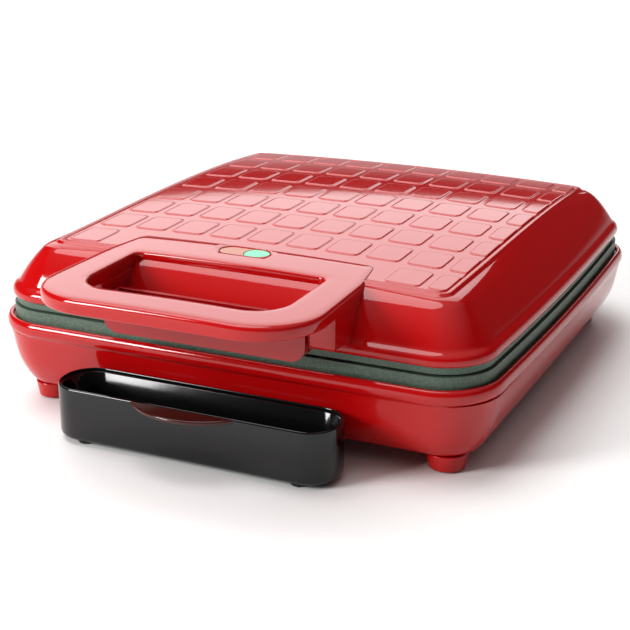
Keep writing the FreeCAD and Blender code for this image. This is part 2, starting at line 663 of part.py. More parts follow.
def lid_blank(inset, low_sections, crown_offset):
    """Solid of the lid's walls up to the crown surface."""
    top = lid_wall_wire(inset, 1.0)
    flanks = stack(low_sections + [lid_wall_wire(inset, 0.5), top])
    cap = Part.Face(top).extrude(V(0, 0, 15.0))
    return flanks.fuse(cap).cut(above_crown(crown_offset))


def lid_outer():
    tall = BEAD_TOP - LID_BOTTOM
    bead = [lid_wire(1.4, LID_BOTTOM), lid_wire(0.3, LID_BOTTOM + 0.12 * tall), lid_wire(0.0, LID_BOTTOM + 0.34 * tall),
            lid_wire(0.5, LID_BOTTOM + 0.58 * tall), lid_wire(2.0, LID_BOTTOM + 0.78 * tall),
            lid_wire(LID_WALL_INSET, BEAD_TOP)]
    walls = lid_blank(0.0, bead, -PANEL_STEP)
    panel = rounded_box(-PANEL_HALF_X, PANEL_HALF_X, PANEL_FRONT, PANEL_BACK, PANEL_CORNER, BEAD_TOP + 8.0, 40.0)
    return walls.fuse(panel.cut(above_crown(0.0)))


def lid_cavity():
    sections = [lid_wire(LID_WALL_INSET + WALL, LID_LEDGE + LID_LEDGE_THICK),
                lid_wire(LID_WALL_INSET + WALL, BEAD_TOP)]
    return lid_blank(WALL, sections, -PANEL_STEP - WALL)


def bridge_plan(play, z):
    """Plan of the handle's bridge where it lies in the lid's front edge."""
    wide = HANDLE_HALF - HANDLE_TAPER + play
    narrow = BRIDGE_HALF + play
    front = SLOT_BACK - 20.0
    back = BRIDGE_BACK + play
    return rounded_polygon([(HANDLE_X - wide, front, 1.0), (HANDLE_X + wide, front, 1.0),
                            (HANDLE_X + wide, SLOT_BACK, 3.0), (HANDLE_X + narrow, back, 5.0),
                            (HANDLE_X - narrow, back, 5.0), (HANDLE_X - wide, SLOT_BACK, 3.0)], z)


def handle_cylinder():
    """The handle's crowned top: everything under a long round back."""
    radius = HANDLE_HALF ** 2 / (2 * HANDLE_FALL)
    return cylinder(radius, V(HANDLE_X, HANDLE_FRONT - 10, HANDLE_TOP - radius), V(0, 1, 0), BRIDGE_BACK - HANDLE_FRONT + 30)


def pad_solids():
    """The embossed squares, standing a little above the crown."""
    pads = []
    columns = int((2 * PANEL_HALF_X - PAD_MARGIN_X) / PAD_PITCH_X) + 1
    rows = int((PANEL_BACK - PANEL_FRONT - PAD_MARGIN_Y) / PAD_PITCH_Y) + 1
    for i in range(columns):
        for j in range(rows):
            x = -PANEL_HALF_X + PAD_MARGIN_X + i * PAD_PITCH_X
            y = PANEL_FRONT + PAD_MARGIN_Y + j * PAD_PITCH_Y
            x0 = x - PAD_SIZE_X / 2
            x1 = min(x + PAD_SIZE_X / 2, PANEL_HALF_X - 3.0)
            near_bridge = y - PAD_SIZE_Y / 2 < BRIDGE_BACK + 2.0 and min(abs(x0), abs(x1)) < HANDLE_HALF
            if not near_bridge and y + PAD_SIZE_Y / 2 < PANEL_BACK - 2.0 and x1 - x0 > 4 * PAD_CORNER / 2:
                pads.append(rounded_box(x0, x1, y - PAD_SIZE_Y / 2, y + PAD_SIZE_Y / 2, PAD_CORNER,
                                        BEAD_TOP + 14.0, 30.0))
    return Part.makeCompound(pads).cut(above_crown(PAD_HIGH))


def handle_screw_solids():
    necks = [screw(V(sx * (NECK_INNER + NECK_OUTER) / 2, neck_seat(), NECK_BOTTOM + 12.0), V(0, -1, 0),
                   neck_seat() - NECK_FRONT - 6.0) for sx in (-1, 1)]
    bridge = [screw(V(sx * 48.0, (SLOT_BACK + BRIDGE_BACK) / 2, BRIDGE_BOTTOM - BRIDGE_FLOOR), V(0, 0, 1), 4.5)
              for sx in (-1, 1)]
    return necks + bridge


def neck_seat():
    """Where the neck screws' heads bear, inside the lid's front wall."""
    return SHOULDER_FRONT - 3.0


def arm_seat():
    """Where the hinge arm screws' heads bear, inside the lid's rear wall."""
    return SHOULDER_BACK - 6.0


def arm_screw_z():
    return BEAD_TOP + 3.0


def arm_screw_solids():
    return [screw(V(sx * HINGE_X, arm_seat(), arm_screw_z()), V(0, 1, 0), 18.0) for sx in (-1, 1)]


def make_lid_shell(outer, cavity, lamp_holes, screws):
    seat = prism(plate_outline(UPPER_INSET - UPPER_GAP, LOWER_FACE - 5.0), LID_LEDGE - LOWER_FACE + 5.0)
    mouth = prism(plate_outline(UPPER_INSET + LEDGE_REACH, LOWER_FACE), LID_LEDGE + LID_LEDGE_THICK - LOWER_FACE)
    shell = outer.cut(union([cavity, seat, mouth]))
    floor = prism(bridge_plan(WALL, BRIDGE_BOTTOM - BRIDGE_FLOOR), BRIDGE_FLOOR).common(outer)
    posts = [cylinder(PLATE_BOSS_R, spot + V(0, 0, UPPER_PAN_BOTTOM + PAN_SHEET), V(0, 0, 1), 40.0).common(outer)
             for spot in screw_spots()]
    bosses = [wall_boss(sx * (NECK_INNER + NECK_OUTER) / 2, NECK_BOTTOM + 12.0, neck_seat(), outer)
              for sx in (-1, 1)]
    bosses += [wall_boss(sx * HINGE_X, arm_screw_z(), arm_seat(), outer) for sx in (-1, 1)]
    shell = shell.multiFuse([floor] + posts + bosses)
    pads = pad_solids().cut(cavity)
    shell = shell.multiFuse(pads.Solids)
    recess = prism(bridge_plan(BRIDGE_PLAY, BRIDGE_BOTTOM), 20.0)
    return shell.cut(union([recess] + lamp_holes + screws)).removeSplitter()


def make_handle(lid_solid, lamp_pocket, lamp_holes, screws):
    """Loop, bridge and the two necks that come down the lid's front wall."""
    rear_half = HANDLE_HALF - HANDLE_TAPER
    loop = prism(rounded_polygon([(HANDLE_X - HANDLE_HALF, HANDLE_FRONT, HANDLE_CORNER),
                                  (HANDLE_X + HANDLE_HALF, HANDLE_FRONT, HANDLE_CORNER),
                                  (HANDLE_X + rear_half, SLOT_BACK, 1.0),
                                  (HANDLE_X - rear_half, SLOT_BACK, 1.0)], SKIRT_BOTTOM), 30.0)
    bridge = prism(bridge_plan(0.0, BRIDGE_BOTTOM), 30.0)
    necks = [profile_x([(SHOULDER_FRONT, NECK_BOTTOM), (GUARD_BACK, NECK_BOTTOM),
                        (NECK_FRONT, NECK_BOTTOM + NECK_RISE), (NECK_FRONT, SKIRT_BOTTOM + 1),
                        (SHOULDER_FRONT, SKIRT_BOTTOM + 1)], x0, x1)
             for x0, x1 in ((NECK_INNER, NECK_OUTER), (-NECK_OUTER, -NECK_INNER))]
    slot = prism(rounded_polygon([(HANDLE_X - SLOT_HALF, SLOT_FRONT, SLOT_CORNER),
                                  (HANDLE_X + SLOT_HALF, SLOT_FRONT, SLOT_CORNER),
                                  (HANDLE_X + SLOT_HALF, SLOT_BACK, 5.0),
                                  (HANDLE_X - SLOT_HALF, SLOT_BACK, 5.0)], SKIRT_BOTTOM - 5), 60.0)
    handle = union([loop, bridge]).common(handle_cylinder()).cut(slot)
    handle = handle.multiFuse(necks).cut(lid_solid)
    return handle.cut(union([lamp_pocket] + lamp_holes + screws)).removeSplitter()


def make_guard(screws):
    """Trough between the necks that keeps fingers off the hot plates."""
    front = Part.Face(rounded_polygon([(-GUARD_HALF, -GUARD_TOP, 0.5), (GUARD_HALF, -GUARD_TOP, 0.5),
                                       (GUARD_HALF, -GUARD_BOTTOM, GUARD_CORNER),
                                       (-GUARD_HALF, -GUARD_BOTTOM, GUARD_CORNER)], 0))
    block = front.extrude(V(0, 0, GUARD_BACK - GUARD_FRONT))
    block.rotate(V(0, 0, 0), V(1, 0, 0), -90)
    block.translate(V(0, GUARD_FRONT, 0))
    inner = GUARD_HALF - WALL
    hollow = Part.Face(rounded_polygon([(-inner, -GUARD_TOP - 5, 0.5), (inner, -GUARD_TOP - 5, 0.5),
                                        (inner, -GUARD_BOTTOM - WALL, GUARD_CORNER - WALL),
                                        (-inner, -GUARD_BOTTOM - WALL, GUARD_CORNER - WALL)], 0))
    hollow = hollow.extrude(V(0, 0, GUARD_BACK - GUARD_FRONT - 2 * WALL))
    hollow.rotate(V(0, 0, 0), V(1, 0, 0), -90)
    hollow.translate(V(0, GUARD_FRONT + WALL, 0))
    ears = [box(x0, x0 + gap, GUARD_FRONT + 4.0, GUARD_BACK - 2.0, GUARD_TOP - 10.0, GUARD_TOP - 2.0)
            for gap in (NECK_INNER - GUARD_HALF,) for x0 in (GUARD_HALF, -NECK_INNER)]
    return block.cut(hollow).multiFuse(ears).cut(union(screws)).removeSplitter()


def guard_screw_solids():
    y = (GUARD_FRONT + GUARD_BACK) / 2
    return [screw(V(sx * (GUARD_HALF - WALL), y, GUARD_TOP - 6.0), V(sx, 0, 0), 6.0, 1.5, 2.8, 1.8)
            for sx in (-1, 1)]


# ---------------------------------------------------------------- lamps
def stadium(play, z, height):
    """Plan of the lens pair."""
    r = LENS_R + play
    return rounded_box(LAMP_X - LAMP_SPREAD - r, LAMP_X + LAMP_SPREAD + r, LAMP_Y - r, LAMP_Y + r, r, z, height)


def lens_top(shape):
    """Cut a lens block to the handle's crown, a little sunk."""
    sunk = handle_cylinder()
    sunk.translate(V(0, 0, -LENS_SUNK))
    return shape.common(sunk)


def make_lamps():
    whole = stadium(0.0, LAMP_POCKET_FLOOR, 12.0)
    green_spot = V(LAMP_X + LAMP_SPREAD, LAMP_Y, LAMP_POCKET_FLOOR)
    green = cylinder(LENS_R + 1.2, green_spot, V(0, 0, 1), 12.0).common(whole)
    apart = cylinder(LENS_R + 1.2 + LENS_PLAY, green_spot, V(0, 0, 1), 12.0)
    nodes["green_lens"] = lens_top(green)
    nodes["amber_lens"] = lens_top(whole.cut(apart))
    lamps = []
    for sx in (-1, 1):
        foot = V(LAMP_X + sx * LAMP_SPREAD, LAMP_Y, LAMP_HOLDER_BOTTOM)
        tall = LAMP_POCKET_FLOOR - LAMP_HOLDER_BOTTOM - LAMP_R
        tube = cylinder(LAMP_R, foot, V(0, 0, 1), tall)
        dome = Part.makeSphere(LAMP_R, foot + V(0, 0, tall))
        lamps.append(tube.fuse(dome).removeSplitter())
    nodes["indicator_lamps"] = group(lamps)
    r = LAMP_R + 3.0
    holder = box(LAMP_X - LAMP_SPREAD - r, LAMP_X + LAMP_SPREAD + r, LAMP_Y - r, LAMP_Y + r, LAMP_HOLDER_BOTTOM,
                 BRIDGE_BOTTOM - BRIDGE_FLOOR)
    nodes["lamp_holder"] = holder.cut(union(lamps))
    return [cylinder(LAMP_R + LENS_PLAY, V(LAMP_X + sx * LAMP_SPREAD, LAMP_Y, LAMP_HOLDER_BOTTOM - 5), V(0, 0, 1), 15.0)
            for sx in (-1, 1)]


# ---------------------------------------------------------------- hinge
def make_brackets(base_solid, screws):
    """Rear brackets with two ears each, and the pins through them."""
    ear_in = BARREL_LONG / 2 + EAR_PLAY
    half = ear_in + EAR_THICK
    for name, sx in (("left", -1), ("right", 1)):
        x = sx * HINGE_X
        block = box(x - half, x + half, RIM_DEPTH / 2 - BELLY_LOW_INSET - WALL, BRACKET_BACK, BRACKET_BOTTOM,
                    BRACKET_SADDLE)
        ears = []
        for x0 in (x - half, x + ear_in):
            ears.append(cylinder(EAR_R, V(x0, HINGE_Y, HINGE_Z), V(1, 0, 0), EAR_THICK))
            ears.append(box(x0, x0 + EAR_THICK, HINGE_Y - EAR_R, HINGE_Y + EAR_R, BRACKET_SADDLE - 1, HINGE_Z))
        pin = cylinder(PIN_R, V(x - half, HINGE_Y, HINGE_Z), V(1, 0, 0), 2 * half)
        heads = [cylinder(PIN_HEAD_R, V(x - half - PIN_HEAD, HINGE_Y, HINGE_Z), V(1, 0, 0), PIN_HEAD),
                 cylinder(PIN_HEAD_R, V(x + half, HINGE_Y, HINGE_Z), V(1, 0, 0), PIN_HEAD)]
        bracket = union([block] + ears).cut(union([base_solid, pin] + screws))
        nodes["hinge_bracket_" + name] = bracket.removeSplitter()
        nodes["hinge_pin_" + name] = union([pin] + heads).removeSplitter()


def make_arms(lid_solid, screws):
    """Lid arms, each with a barrel that turns on a hinge pin."""
    half = BARREL_LONG / 2
    for name, sx in (("left", -1), ("right", 1)):
        x = sx * HINGE_X
        web = profile_x([(HINGE_Y + 2.0, HINGE_Z + BARREL_R - 0.5), (HINGE_Y - 6.0, BEAD_TOP + 2.0),
                         (SHOULDER_BACK - 2.0, BEAD_TOP + 12.0), (SHOULDER_BACK - 2.0, BEAD_TOP),
                         (HALF_Y + LID_LIP - 1.0, LID_BOTTOM + 1.8), (HINGE_Y - 6.0, HINGE_Z - 2.0)],
                        x - half, x + half)
        barrel = cylinder(BARREL_R, V(x - half, HINGE_Y, HINGE_Z), V(1, 0, 0), BARREL_LONG)
        bore = cylinder(PIN_R + PIN_PLAY, V(x - half, HINGE_Y, HINGE_Z), V(1, 0, 0), BARREL_LONG)
        arm = union([web, barrel]).cut(union([lid_solid, bore] + screws))
        nodes["lid_arm_" + name] = main_piece(arm)


# ---------------------------------------------------------------- drip tray
def make_tray():
    """Stadium trough with a rim ledge, an arched pull tab and ball feet."""
    x0 = TRAY_X - TRAY_HALF
    x1 = TRAY_X + TRAY_HALF
    body = rounded_box(x0, x1, TRAY_FRONT, TRAY_BACK, TRAY_CORNER, TRAY_BOTTOM, TRAY_TOP - TRAY_BOTTOM)
    w = TRAY_WALL
    hollow = rounded_box(x0 + w, x1 - w, TRAY_FRONT + w, TRAY_BACK - w, TRAY_CORNER - w, TRAY_BOTTOM + w, TRAY_TOP)
    step = TRAY_LIP
    ledge = rounded_box(x0 + step, x1 - step, TRAY_FRONT + step, TRAY_BACK - step, TRAY_CORNER - step,
                        TRAY_TOP - TRAY_RIM_THICK, TRAY_RIM_THICK + 1)
    arc_r = (TAB_HALF ** 2 + TAB_REACH ** 2) / (2 * TAB_REACH)
    disc = cylinder(arc_r, V(TRAY_X, TRAY_FRONT - TAB_REACH + arc_r, TRAY_TOP - TAB_THICK), V(0, 0, 1), TAB_THICK)
    tab = disc.common(box(x0, x1, TRAY_FRONT - FAR, TRAY_FRONT + 1.0, 0, FAR))
    balls = [Part.makeSphere(BALL_R, V(TRAY_X + sx * BALL_X, y, BALL_R))
             for sx in (-1, 1) for y in (TRAY_FRONT + 4.5, TRAY_BACK - 4.5)]
    tray = union([body, tab] + balls).cut(hollow).cut(ledge)
    return tray.removeSplitter()


# ---------------------------------------------------------------- assembly
def build():
    gland_y = RIM_DEPTH / 2 - BELLY_LOW_INSET - 10.0
    gland_hole = cylinder(GLAND_R, V(GLAND_X, gland_y, GLAND_Z), V(0, 1, 0), 40.0)
    outer = base_outer()
    foot_screws = foot_screw_solids()
    cover_screws = cover_screw_solids()
    rear_screws = bracket_screws()
    lower_screws = lower_plate_screw_solids()
    nodes["base_shell"] = make_base_shell(outer, gland_hole, foot_screws + cover_screws + rear_screws)
    make_feet(foot_screws)
    block = box(-BLOCK_HALF_X, BLOCK_HALF_X, HEATER_HALF_Y - BLOCK_HALF_Y, HEATER_HALF_Y + BLOCK_HALF_Y,
                COVER_TOP, COVER_TOP + LOWER_BLOCK_TALL)
    nodes["bottom_cover"] = make_bottom_cover(cover_screws + lower_screws)
    nodes["terminal_block"] = block
    nodes["foot_screws"] = group(foot_screws)
    nodes["cover_screws"] = group(cover_screws)
    nodes["bracket_screws"] = group(rear_screws)
    nodes["lower_plate_screws"] = group(lower_screws)

    flat_heater = make_heater(-BODY_THICK - HEATER_R)
    flat_lower = [s.copy() for s in lower_screws]
    for s in flat_lower:
        s.translate(V(0, 0, -LOWER_FACE))
    nodes["lower_plate"] = place_lower(make_plate(0.0, LOWER_FACE - LEDGE_TOP, LOWER_FACE - LOWER_PAN_TOP,
                                                  flat_heater, flat_lower))
    nodes["lower_heater"] = place_lower(flat_heater)
    nodes["lower_reflector"] = make_pan(LOWER_PAN_TOP - PAN_SHEET, True, lower_screws)
    nodes["lower_leads"] = make_leads(LOWER_HEATER_Z, COVER_TOP + LOWER_BLOCK_TALL)
    nodes["thermostat"] = cylinder(THERMOSTAT_R, V(0, 28.0, LOWER_BACK), V(0, 0, -1), THERMOSTAT_TALL)
    nodes["thermal_fuse"] = cylinder(FUSE_R, V(-36.0, 28.0, LOWER_BACK - FUSE_R), V(1, 0, 0), FUSE_LONG)
    flange = cylinder(GLAND_FLANGE_R, V(GLAND_X, gland_y, GLAND_Z), V(0, 1, 0), 40.0).cut(outer)
    flange = flange.common(box(0, FAR, 0, RIM_DEPTH / 2 - BELLY_INSET + GLAND_FLANGE - 1.0, 0, FAR))
    sleeve = cylinder(GLAND_R, V(GLAND_X, gland_y, GLAND_Z), V(0, 1, 0), 14.0)
    bore = cylinder(GLAND_BORE_R, V(GLAND_X, gland_y - 5, GLAND_Z), V(0, 1, 0), 60.0)
    nodes["cord_gland"] = flange.fuse(sleeve).cut(bore).removeSplitter()
    make_brackets(outer, rear_screws)

    lid_solid = lid_outer()
    cavity = lid_cavity()
    recess = prism(bridge_plan(BRIDGE_PLAY, BRIDGE_BOTTOM), 20.0)
    pinned = lid_solid.cut(recess)
    handle_screws = handle_screw_solids()
    arm_screws = arm_screw_solids()
    upper_screws = upper_plate_screw_solids()
    guard_screws = guard_screw_solids()
    lamp_holes = make_lamps()
    nodes["lid_shell"] = make_lid_shell(lid_solid, cavity, lamp_holes, handle_screws + arm_screws + upper_screws)
    pocket = stadium(LENS_PLAY, LAMP_POCKET_FLOOR, 12.0)
    nodes["handle"] = make_handle(pinned, pocket, lamp_holes, handle_screws + guard_screws)
    nodes["finger_guard"] = make_guard(guard_screws)
    make_arms(lid_solid, arm_screws)
    nodes["handle_screws"] = group(handle_screws)
    nodes["arm_screws"] = group(arm_screws)
    nodes["guard_screws"] = group(guard_screws)
    nodes["upper_plate_screws"] = group(upper_screws)
    flat_upper = []
    for s in upper_screws:
        turned = s.copy()
        turned.translate(V(0, 0, -UPPER_FACE))
        flat_upper.append(turned.mirror(V(0, 0, 0), V(0, 0, 1)))
    nodes["upper_plate"] = place_upper(make_plate(UPPER_INSET, LID_LEDGE - UPPER_FACE, UPPER_PAN_BOTTOM - UPPER_FACE,
                                                  flat_heater, flat_upper))
    nodes["upper_heater"] = place_upper(flat_heater)
    nodes["upper_reflector"] = make_pan(UPPER_PAN_BOTTOM, False, upper_screws)
    nodes["upper_leads"] = make_leads(UPPER_HEATER_Z, UPPER_BLOCK_BOTTOM)
    ceiling = box(-BLOCK_HALF_X, BLOCK_HALF_X, HEATER_HALF_Y - BLOCK_HALF_Y, HEATER_HALF_Y + BLOCK_HALF_Y,
                  UPPER_BLOCK_BOTTOM, UPPER_BLOCK_BOTTOM + 30.0)
    nodes["lid_terminal_block"] = ceiling.common(cavity)
    nodes["drip_tray"] = make_tray()


def export():
    os.makedirs("parts", exist_ok=True)
    for name, shape in nodes.items():
        moved = shape.copy()
        moved.translate(V(0, FRAME_SHIFT_Y, 0))
        moved.exportStep(os.path.join("parts", name + ".step"))
        low, high = moved.BoundBox, moved.BoundBox
        print("%-20s solids %2d valid %s volume %9.0f  x %.1f..%.1f y %.1f..%.1f z %.1f..%.1f" % (
            name, len(moved.Solids), moved.isValid(), moved.Volume, low.XMin, high.XMax, low.YMin, high.YMax,
            low.ZMin, high.ZMax))


build()
export()
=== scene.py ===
"""Waffle maker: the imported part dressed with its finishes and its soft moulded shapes.

Sizes are millimetres, measured from the middle of the lower cooking plate, with z up from the table.
"""
from __future__ import annotations

import json
import logging
import math
from dataclasses import dataclass, replace
from enum import Enum
from typing import Callable, Iterable, Sequence

import bmesh
import bpy
from mathutils import Matrix, Vector

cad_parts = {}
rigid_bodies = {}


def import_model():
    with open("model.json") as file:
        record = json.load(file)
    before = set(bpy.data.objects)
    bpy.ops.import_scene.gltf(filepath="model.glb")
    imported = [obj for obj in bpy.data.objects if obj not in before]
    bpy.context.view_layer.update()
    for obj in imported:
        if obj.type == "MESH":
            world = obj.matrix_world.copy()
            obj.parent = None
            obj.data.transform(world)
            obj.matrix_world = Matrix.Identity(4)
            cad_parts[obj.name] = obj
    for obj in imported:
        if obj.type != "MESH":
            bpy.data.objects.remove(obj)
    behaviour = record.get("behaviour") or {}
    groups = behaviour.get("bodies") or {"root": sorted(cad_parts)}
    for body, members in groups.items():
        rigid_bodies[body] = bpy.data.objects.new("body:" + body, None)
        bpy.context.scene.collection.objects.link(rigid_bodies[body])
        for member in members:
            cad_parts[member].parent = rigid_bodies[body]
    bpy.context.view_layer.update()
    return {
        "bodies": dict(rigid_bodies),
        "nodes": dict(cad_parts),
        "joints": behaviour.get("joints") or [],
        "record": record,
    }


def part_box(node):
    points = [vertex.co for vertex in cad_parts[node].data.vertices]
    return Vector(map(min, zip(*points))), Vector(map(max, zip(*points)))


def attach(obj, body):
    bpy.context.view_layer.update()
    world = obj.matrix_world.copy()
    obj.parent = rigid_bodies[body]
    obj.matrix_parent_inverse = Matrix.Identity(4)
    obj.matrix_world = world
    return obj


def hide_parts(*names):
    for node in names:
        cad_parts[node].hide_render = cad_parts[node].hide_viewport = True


LOG = logging.getLogger("waffle_maker")
MM = 0.001
SMALLEST_CORNER = 0.6               # millimetres
BRUSH_STRETCH = (0.04, 1.0, 1.0)    # a brushed line is 25 times as long as it is wide
MOTTLE_RANGE = (0.38, 0.68)         # noise values between which the two colours mix

Point = tuple[float, float]
Height = Callable[[float, float], float]


# ---------------------------------------------------------------- colours and shader nodes
def linear_colour(code: str) -> tuple[float, float, float, float]:
    """Turns an sRGB hex code into linear RGBA.

    Args:
        code: Six hex digits, such as "a01218".

    Returns:
        Linear red, green, blue and an alpha of 1.
    """
    values = [int(code[i:i + 2], 16) / 255 for i in (0, 2, 4)]
    red, green, blue = (v / 12.92 if v <= 0.04045 else ((v + 0.055) / 1.055) ** 2.4 for v in values)
    return red, green, blue, 1.0


def add_node(tree: bpy.types.NodeTree, kind: str, settings: dict | None = None,
             inputs: dict | None = None, links: dict | None = None) -> bpy.types.Node:
    """Adds a shader node with its settings, input values and incoming links.

    Args:
        tree: The node tree.
        kind: The node's type name.
        settings: Properties of the node.
        inputs: Values by socket name.
        links: Output sockets by the name of the input they feed.

    Returns:
        The new node.
    """
    node = tree.nodes.new(kind)
    for key, value in (settings or {}).items():
        setattr(node, key, value)
    for key, value in (inputs or {}).items():
        node.inputs[key].default_value = value
    for key, socket in (links or {}).items():
        tree.links.new(socket, node.inputs[key])
    return node


class Pattern(Enum):
    """What the surface's relief looks like close to."""

    PLAIN = "plain"
    PEEL = "peel"          # the faint waviness of a polished mould
    GRAIN = "grain"        # spark-eroded or sprayed grit
    BRUSHED = "brushed"    # lines drawn along X


@dataclass(frozen=True)
class Finish:
    """One real material and how its surface was made."""

    name: str
    colour: str
    roughness: float
    metallic: float = 0.0
    ior: float = 1.5
    transmission: float = 0.0
    glow: float = 0.0
    pattern: Pattern = Pattern.PLAIN
    grain_mm: float = 1.0
    relief_mm: float = 0.0
    mottle: str = ""

    def build(self) -> bpy.types.Material:
        """Makes the Blender material.

        Returns:
            The material.
        """
        material = bpy.data.materials.new(self.name)
        material.use_nodes = True
        tree = material.node_tree
        shader = tree.nodes["Principled BSDF"]
        shader.inputs["Base Color"].default_value = linear_colour(self.colour)
        shader.inputs["Roughness"].default_value = self.roughness
        shader.inputs["Metallic"].default_value = self.metallic
        shader.inputs["IOR"].default_value = self.ior
        shader.inputs["Transmission Weight"].default_value = self.transmission
        if self.glow:
            shader.inputs["Emission Color"].default_value = linear_colour(self.colour)
            shader.inputs["Emission Strength"].default_value = self.glow
        material.diffuse_color = linear_colour(self.colour)
        if self.pattern is not Pattern.PLAIN or self.mottle:
            self._surface(tree, shader)
        return material

    def _surface(self, tree: bpy.types.NodeTree, shader: bpy.types.Node) -> None:
        """Adds the relief and the mottled colour, both in the object's own coordinates.

        Args:
            tree: The material's node tree.
            shader: Its main shader.
        """
        place = add_node(tree, "ShaderNodeTexCoord")
        stretch = BRUSH_STRETCH if self.pattern is Pattern.BRUSHED else (1.0, 1.0, 1.0)
        mapped = add_node(tree, "ShaderNodeMapping", inputs={"Scale": stretch},
                          links={"Vector": place.outputs["Object"]})
        detail = 1.0 if self.pattern is Pattern.PEEL else 3.0
        noise = add_node(tree, "ShaderNodeTexNoise",
                         inputs={"Scale": 1.0 / (self.grain_mm * MM), "Detail": detail, "Roughness": 0.55},
                         links={"Vector": mapped.outputs["Vector"]})
        if self.relief_mm:
            bump = add_node(tree, "ShaderNodeBump", inputs={"Strength": 1.0, "Distance": self.relief_mm * MM},
                            links={"Height": noise.outputs["Fac"]})
            tree.links.new(bump.outputs["Normal"], shader.inputs["Normal"])
        if self.mottle:
            ramp = add_node(tree, "ShaderNodeValToRGB", links={"Fac": noise.outputs["Fac"]})
            ramp.color_ramp.elements[0].position = MOTTLE_RANGE[0]
            ramp.color_ramp.elements[1].position = MOTTLE_RANGE[1]
            ramp.color_ramp.elements[0].color = linear_colour(self.colour)
            ramp.color_ramp.elements[1].color = linear_colour(self.mottle)
            tree.links.new(ramp.outputs["Color"], shader.inputs["Base Color"])


# Injection-moulded ABS from a polished mould: deep even red, sharp reflections with a very faint waviness.
RED_ABS = Finish("gloss_red_abs", "ae080a", 0.07, ior=1.5, pattern=Pattern.PEEL, grain_mm=9.0,
                 relief_mm=0.012)
# The same plastic on the tongue under the handle, its red darkened as painted shade from the handle above it,
# and a little less polished.
SHADED_RED_ABS = Finish("red_abs_painted_shade", "980a10", 0.16, ior=1.5, pattern=Pattern.PEEL, grain_mm=7.0,
                      relief_mm=0.012)
# Sprayed non-stick coating on cast aluminium: dull grey-green with fine grit. The grit is 0.3 mm on the real
# one and drawn at 1.1 mm so that it shows.
NONSTICK = Finish("sprayed_nonstick", "46564a", 0.45, ior=1.4, pattern=Pattern.GRAIN, grain_mm=1.1,
                  relief_mm=0.14, mottle="5b6e5f")
# Polished black polypropylene of the drip tray: near black, clear reflections.
BLACK_POLYPROPYLENE = Finish("gloss_black_polypropylene", "0b0b0c", 0.09, ior=1.45,
                             pattern=Pattern.PEEL, grain_mm=8.0, relief_mm=0.012)
# The tray's pull tab is the same black plastic, coloured warm brown as a painted reflection of the red shell
# above it.
TAB_REFLECTION_POLYPROPYLENE = Finish("black_polypropylene_painted_red_reflection", "3a120e", 0.14, ior=1.49)
# Spark-eroded black nylon of the hinge and the cover: dark grey, dull, finely pitted.
ERODED_NYLON = Finish("eroded_black_nylon", "1a1a1b", 0.55, ior=1.53, pattern=Pattern.GRAIN, grain_mm=0.9,
                      relief_mm=0.10)
# Compression-moulded rubber: black, no shine.
RUBBER = Finish("moulded_rubber", "141414", 0.82, ior=1.52, pattern=Pattern.GRAIN, grain_mm=1.4,
                relief_mm=0.08)
# Zinc-plated steel screws, tumbled: light grey with a soft shine.
PLATED_STEEL = Finish("zinc_plated_steel", "b4b6b8", 0.32, metallic=1.0, pattern=Pattern.GRAIN, grain_mm=0.7,
                      relief_mm=0.02)
# Ground steel of the hinge pins: lines along the pin.
GROUND_STEEL = Finish("ground_steel", "c4c5c8", 0.22, metallic=1.0, pattern=Pattern.BRUSHED, grain_mm=0.5,
                      relief_mm=0.015)
# Annealed steel heater sheath: dark oxide with brown patches.
HEATER_SHEATH = Finish("annealed_steel_sheath", "4c4a48", 0.46, metallic=0.9, pattern=Pattern.GRAIN,
                       grain_mm=5.0, relief_mm=0.03, mottle="5e5146")
# Rolled aluminium sheet of the reflectors and sensor cases: pale, with rolling lines.
ROLLED_ALUMINIUM = Finish("rolled_aluminium", "d2d3d5", 0.28, metallic=1.0, pattern=Pattern.BRUSHED,
                          grain_mm=0.9, relief_mm=0.02)
# Steatite terminal blocks: off-white unglazed ceramic.
STEATITE = Finish("unglazed_steatite", "e6dfcd", 0.62, ior=1.6, pattern=Pattern.GRAIN, grain_mm=1.2,
                  relief_mm=0.05)
# Varnished glass-fibre sleeve on the leads: pale straw, woven.
GLASS_SLEEVE = Finish("glass_fibre_sleeve", "ddd3b8", 0.7, pattern=Pattern.GRAIN, grain_mm=0.6,
                      relief_mm=0.12)
# Tinted polycarbonate lenses: clear, glossy, coloured through.
AMBER_LENS = Finish("amber_polycarbonate", "b4571c", 0.16, ior=1.45, transmission=0.1, glow=0.05)
MINT_LENS = Finish("mint_polycarbonate", "3fcf98", 0.16, ior=1.45, transmission=0.1, glow=0.10)
# Soda glass of the neon lamps.
LAMP_GLASS = Finish("soda_glass", "f2f4f2", 0.03, ior=1.52, transmission=0.95)
# Matte white paper sweep under the object.
PAPER = Finish("white_paper", "f0efee", 0.85, ior=1.4)


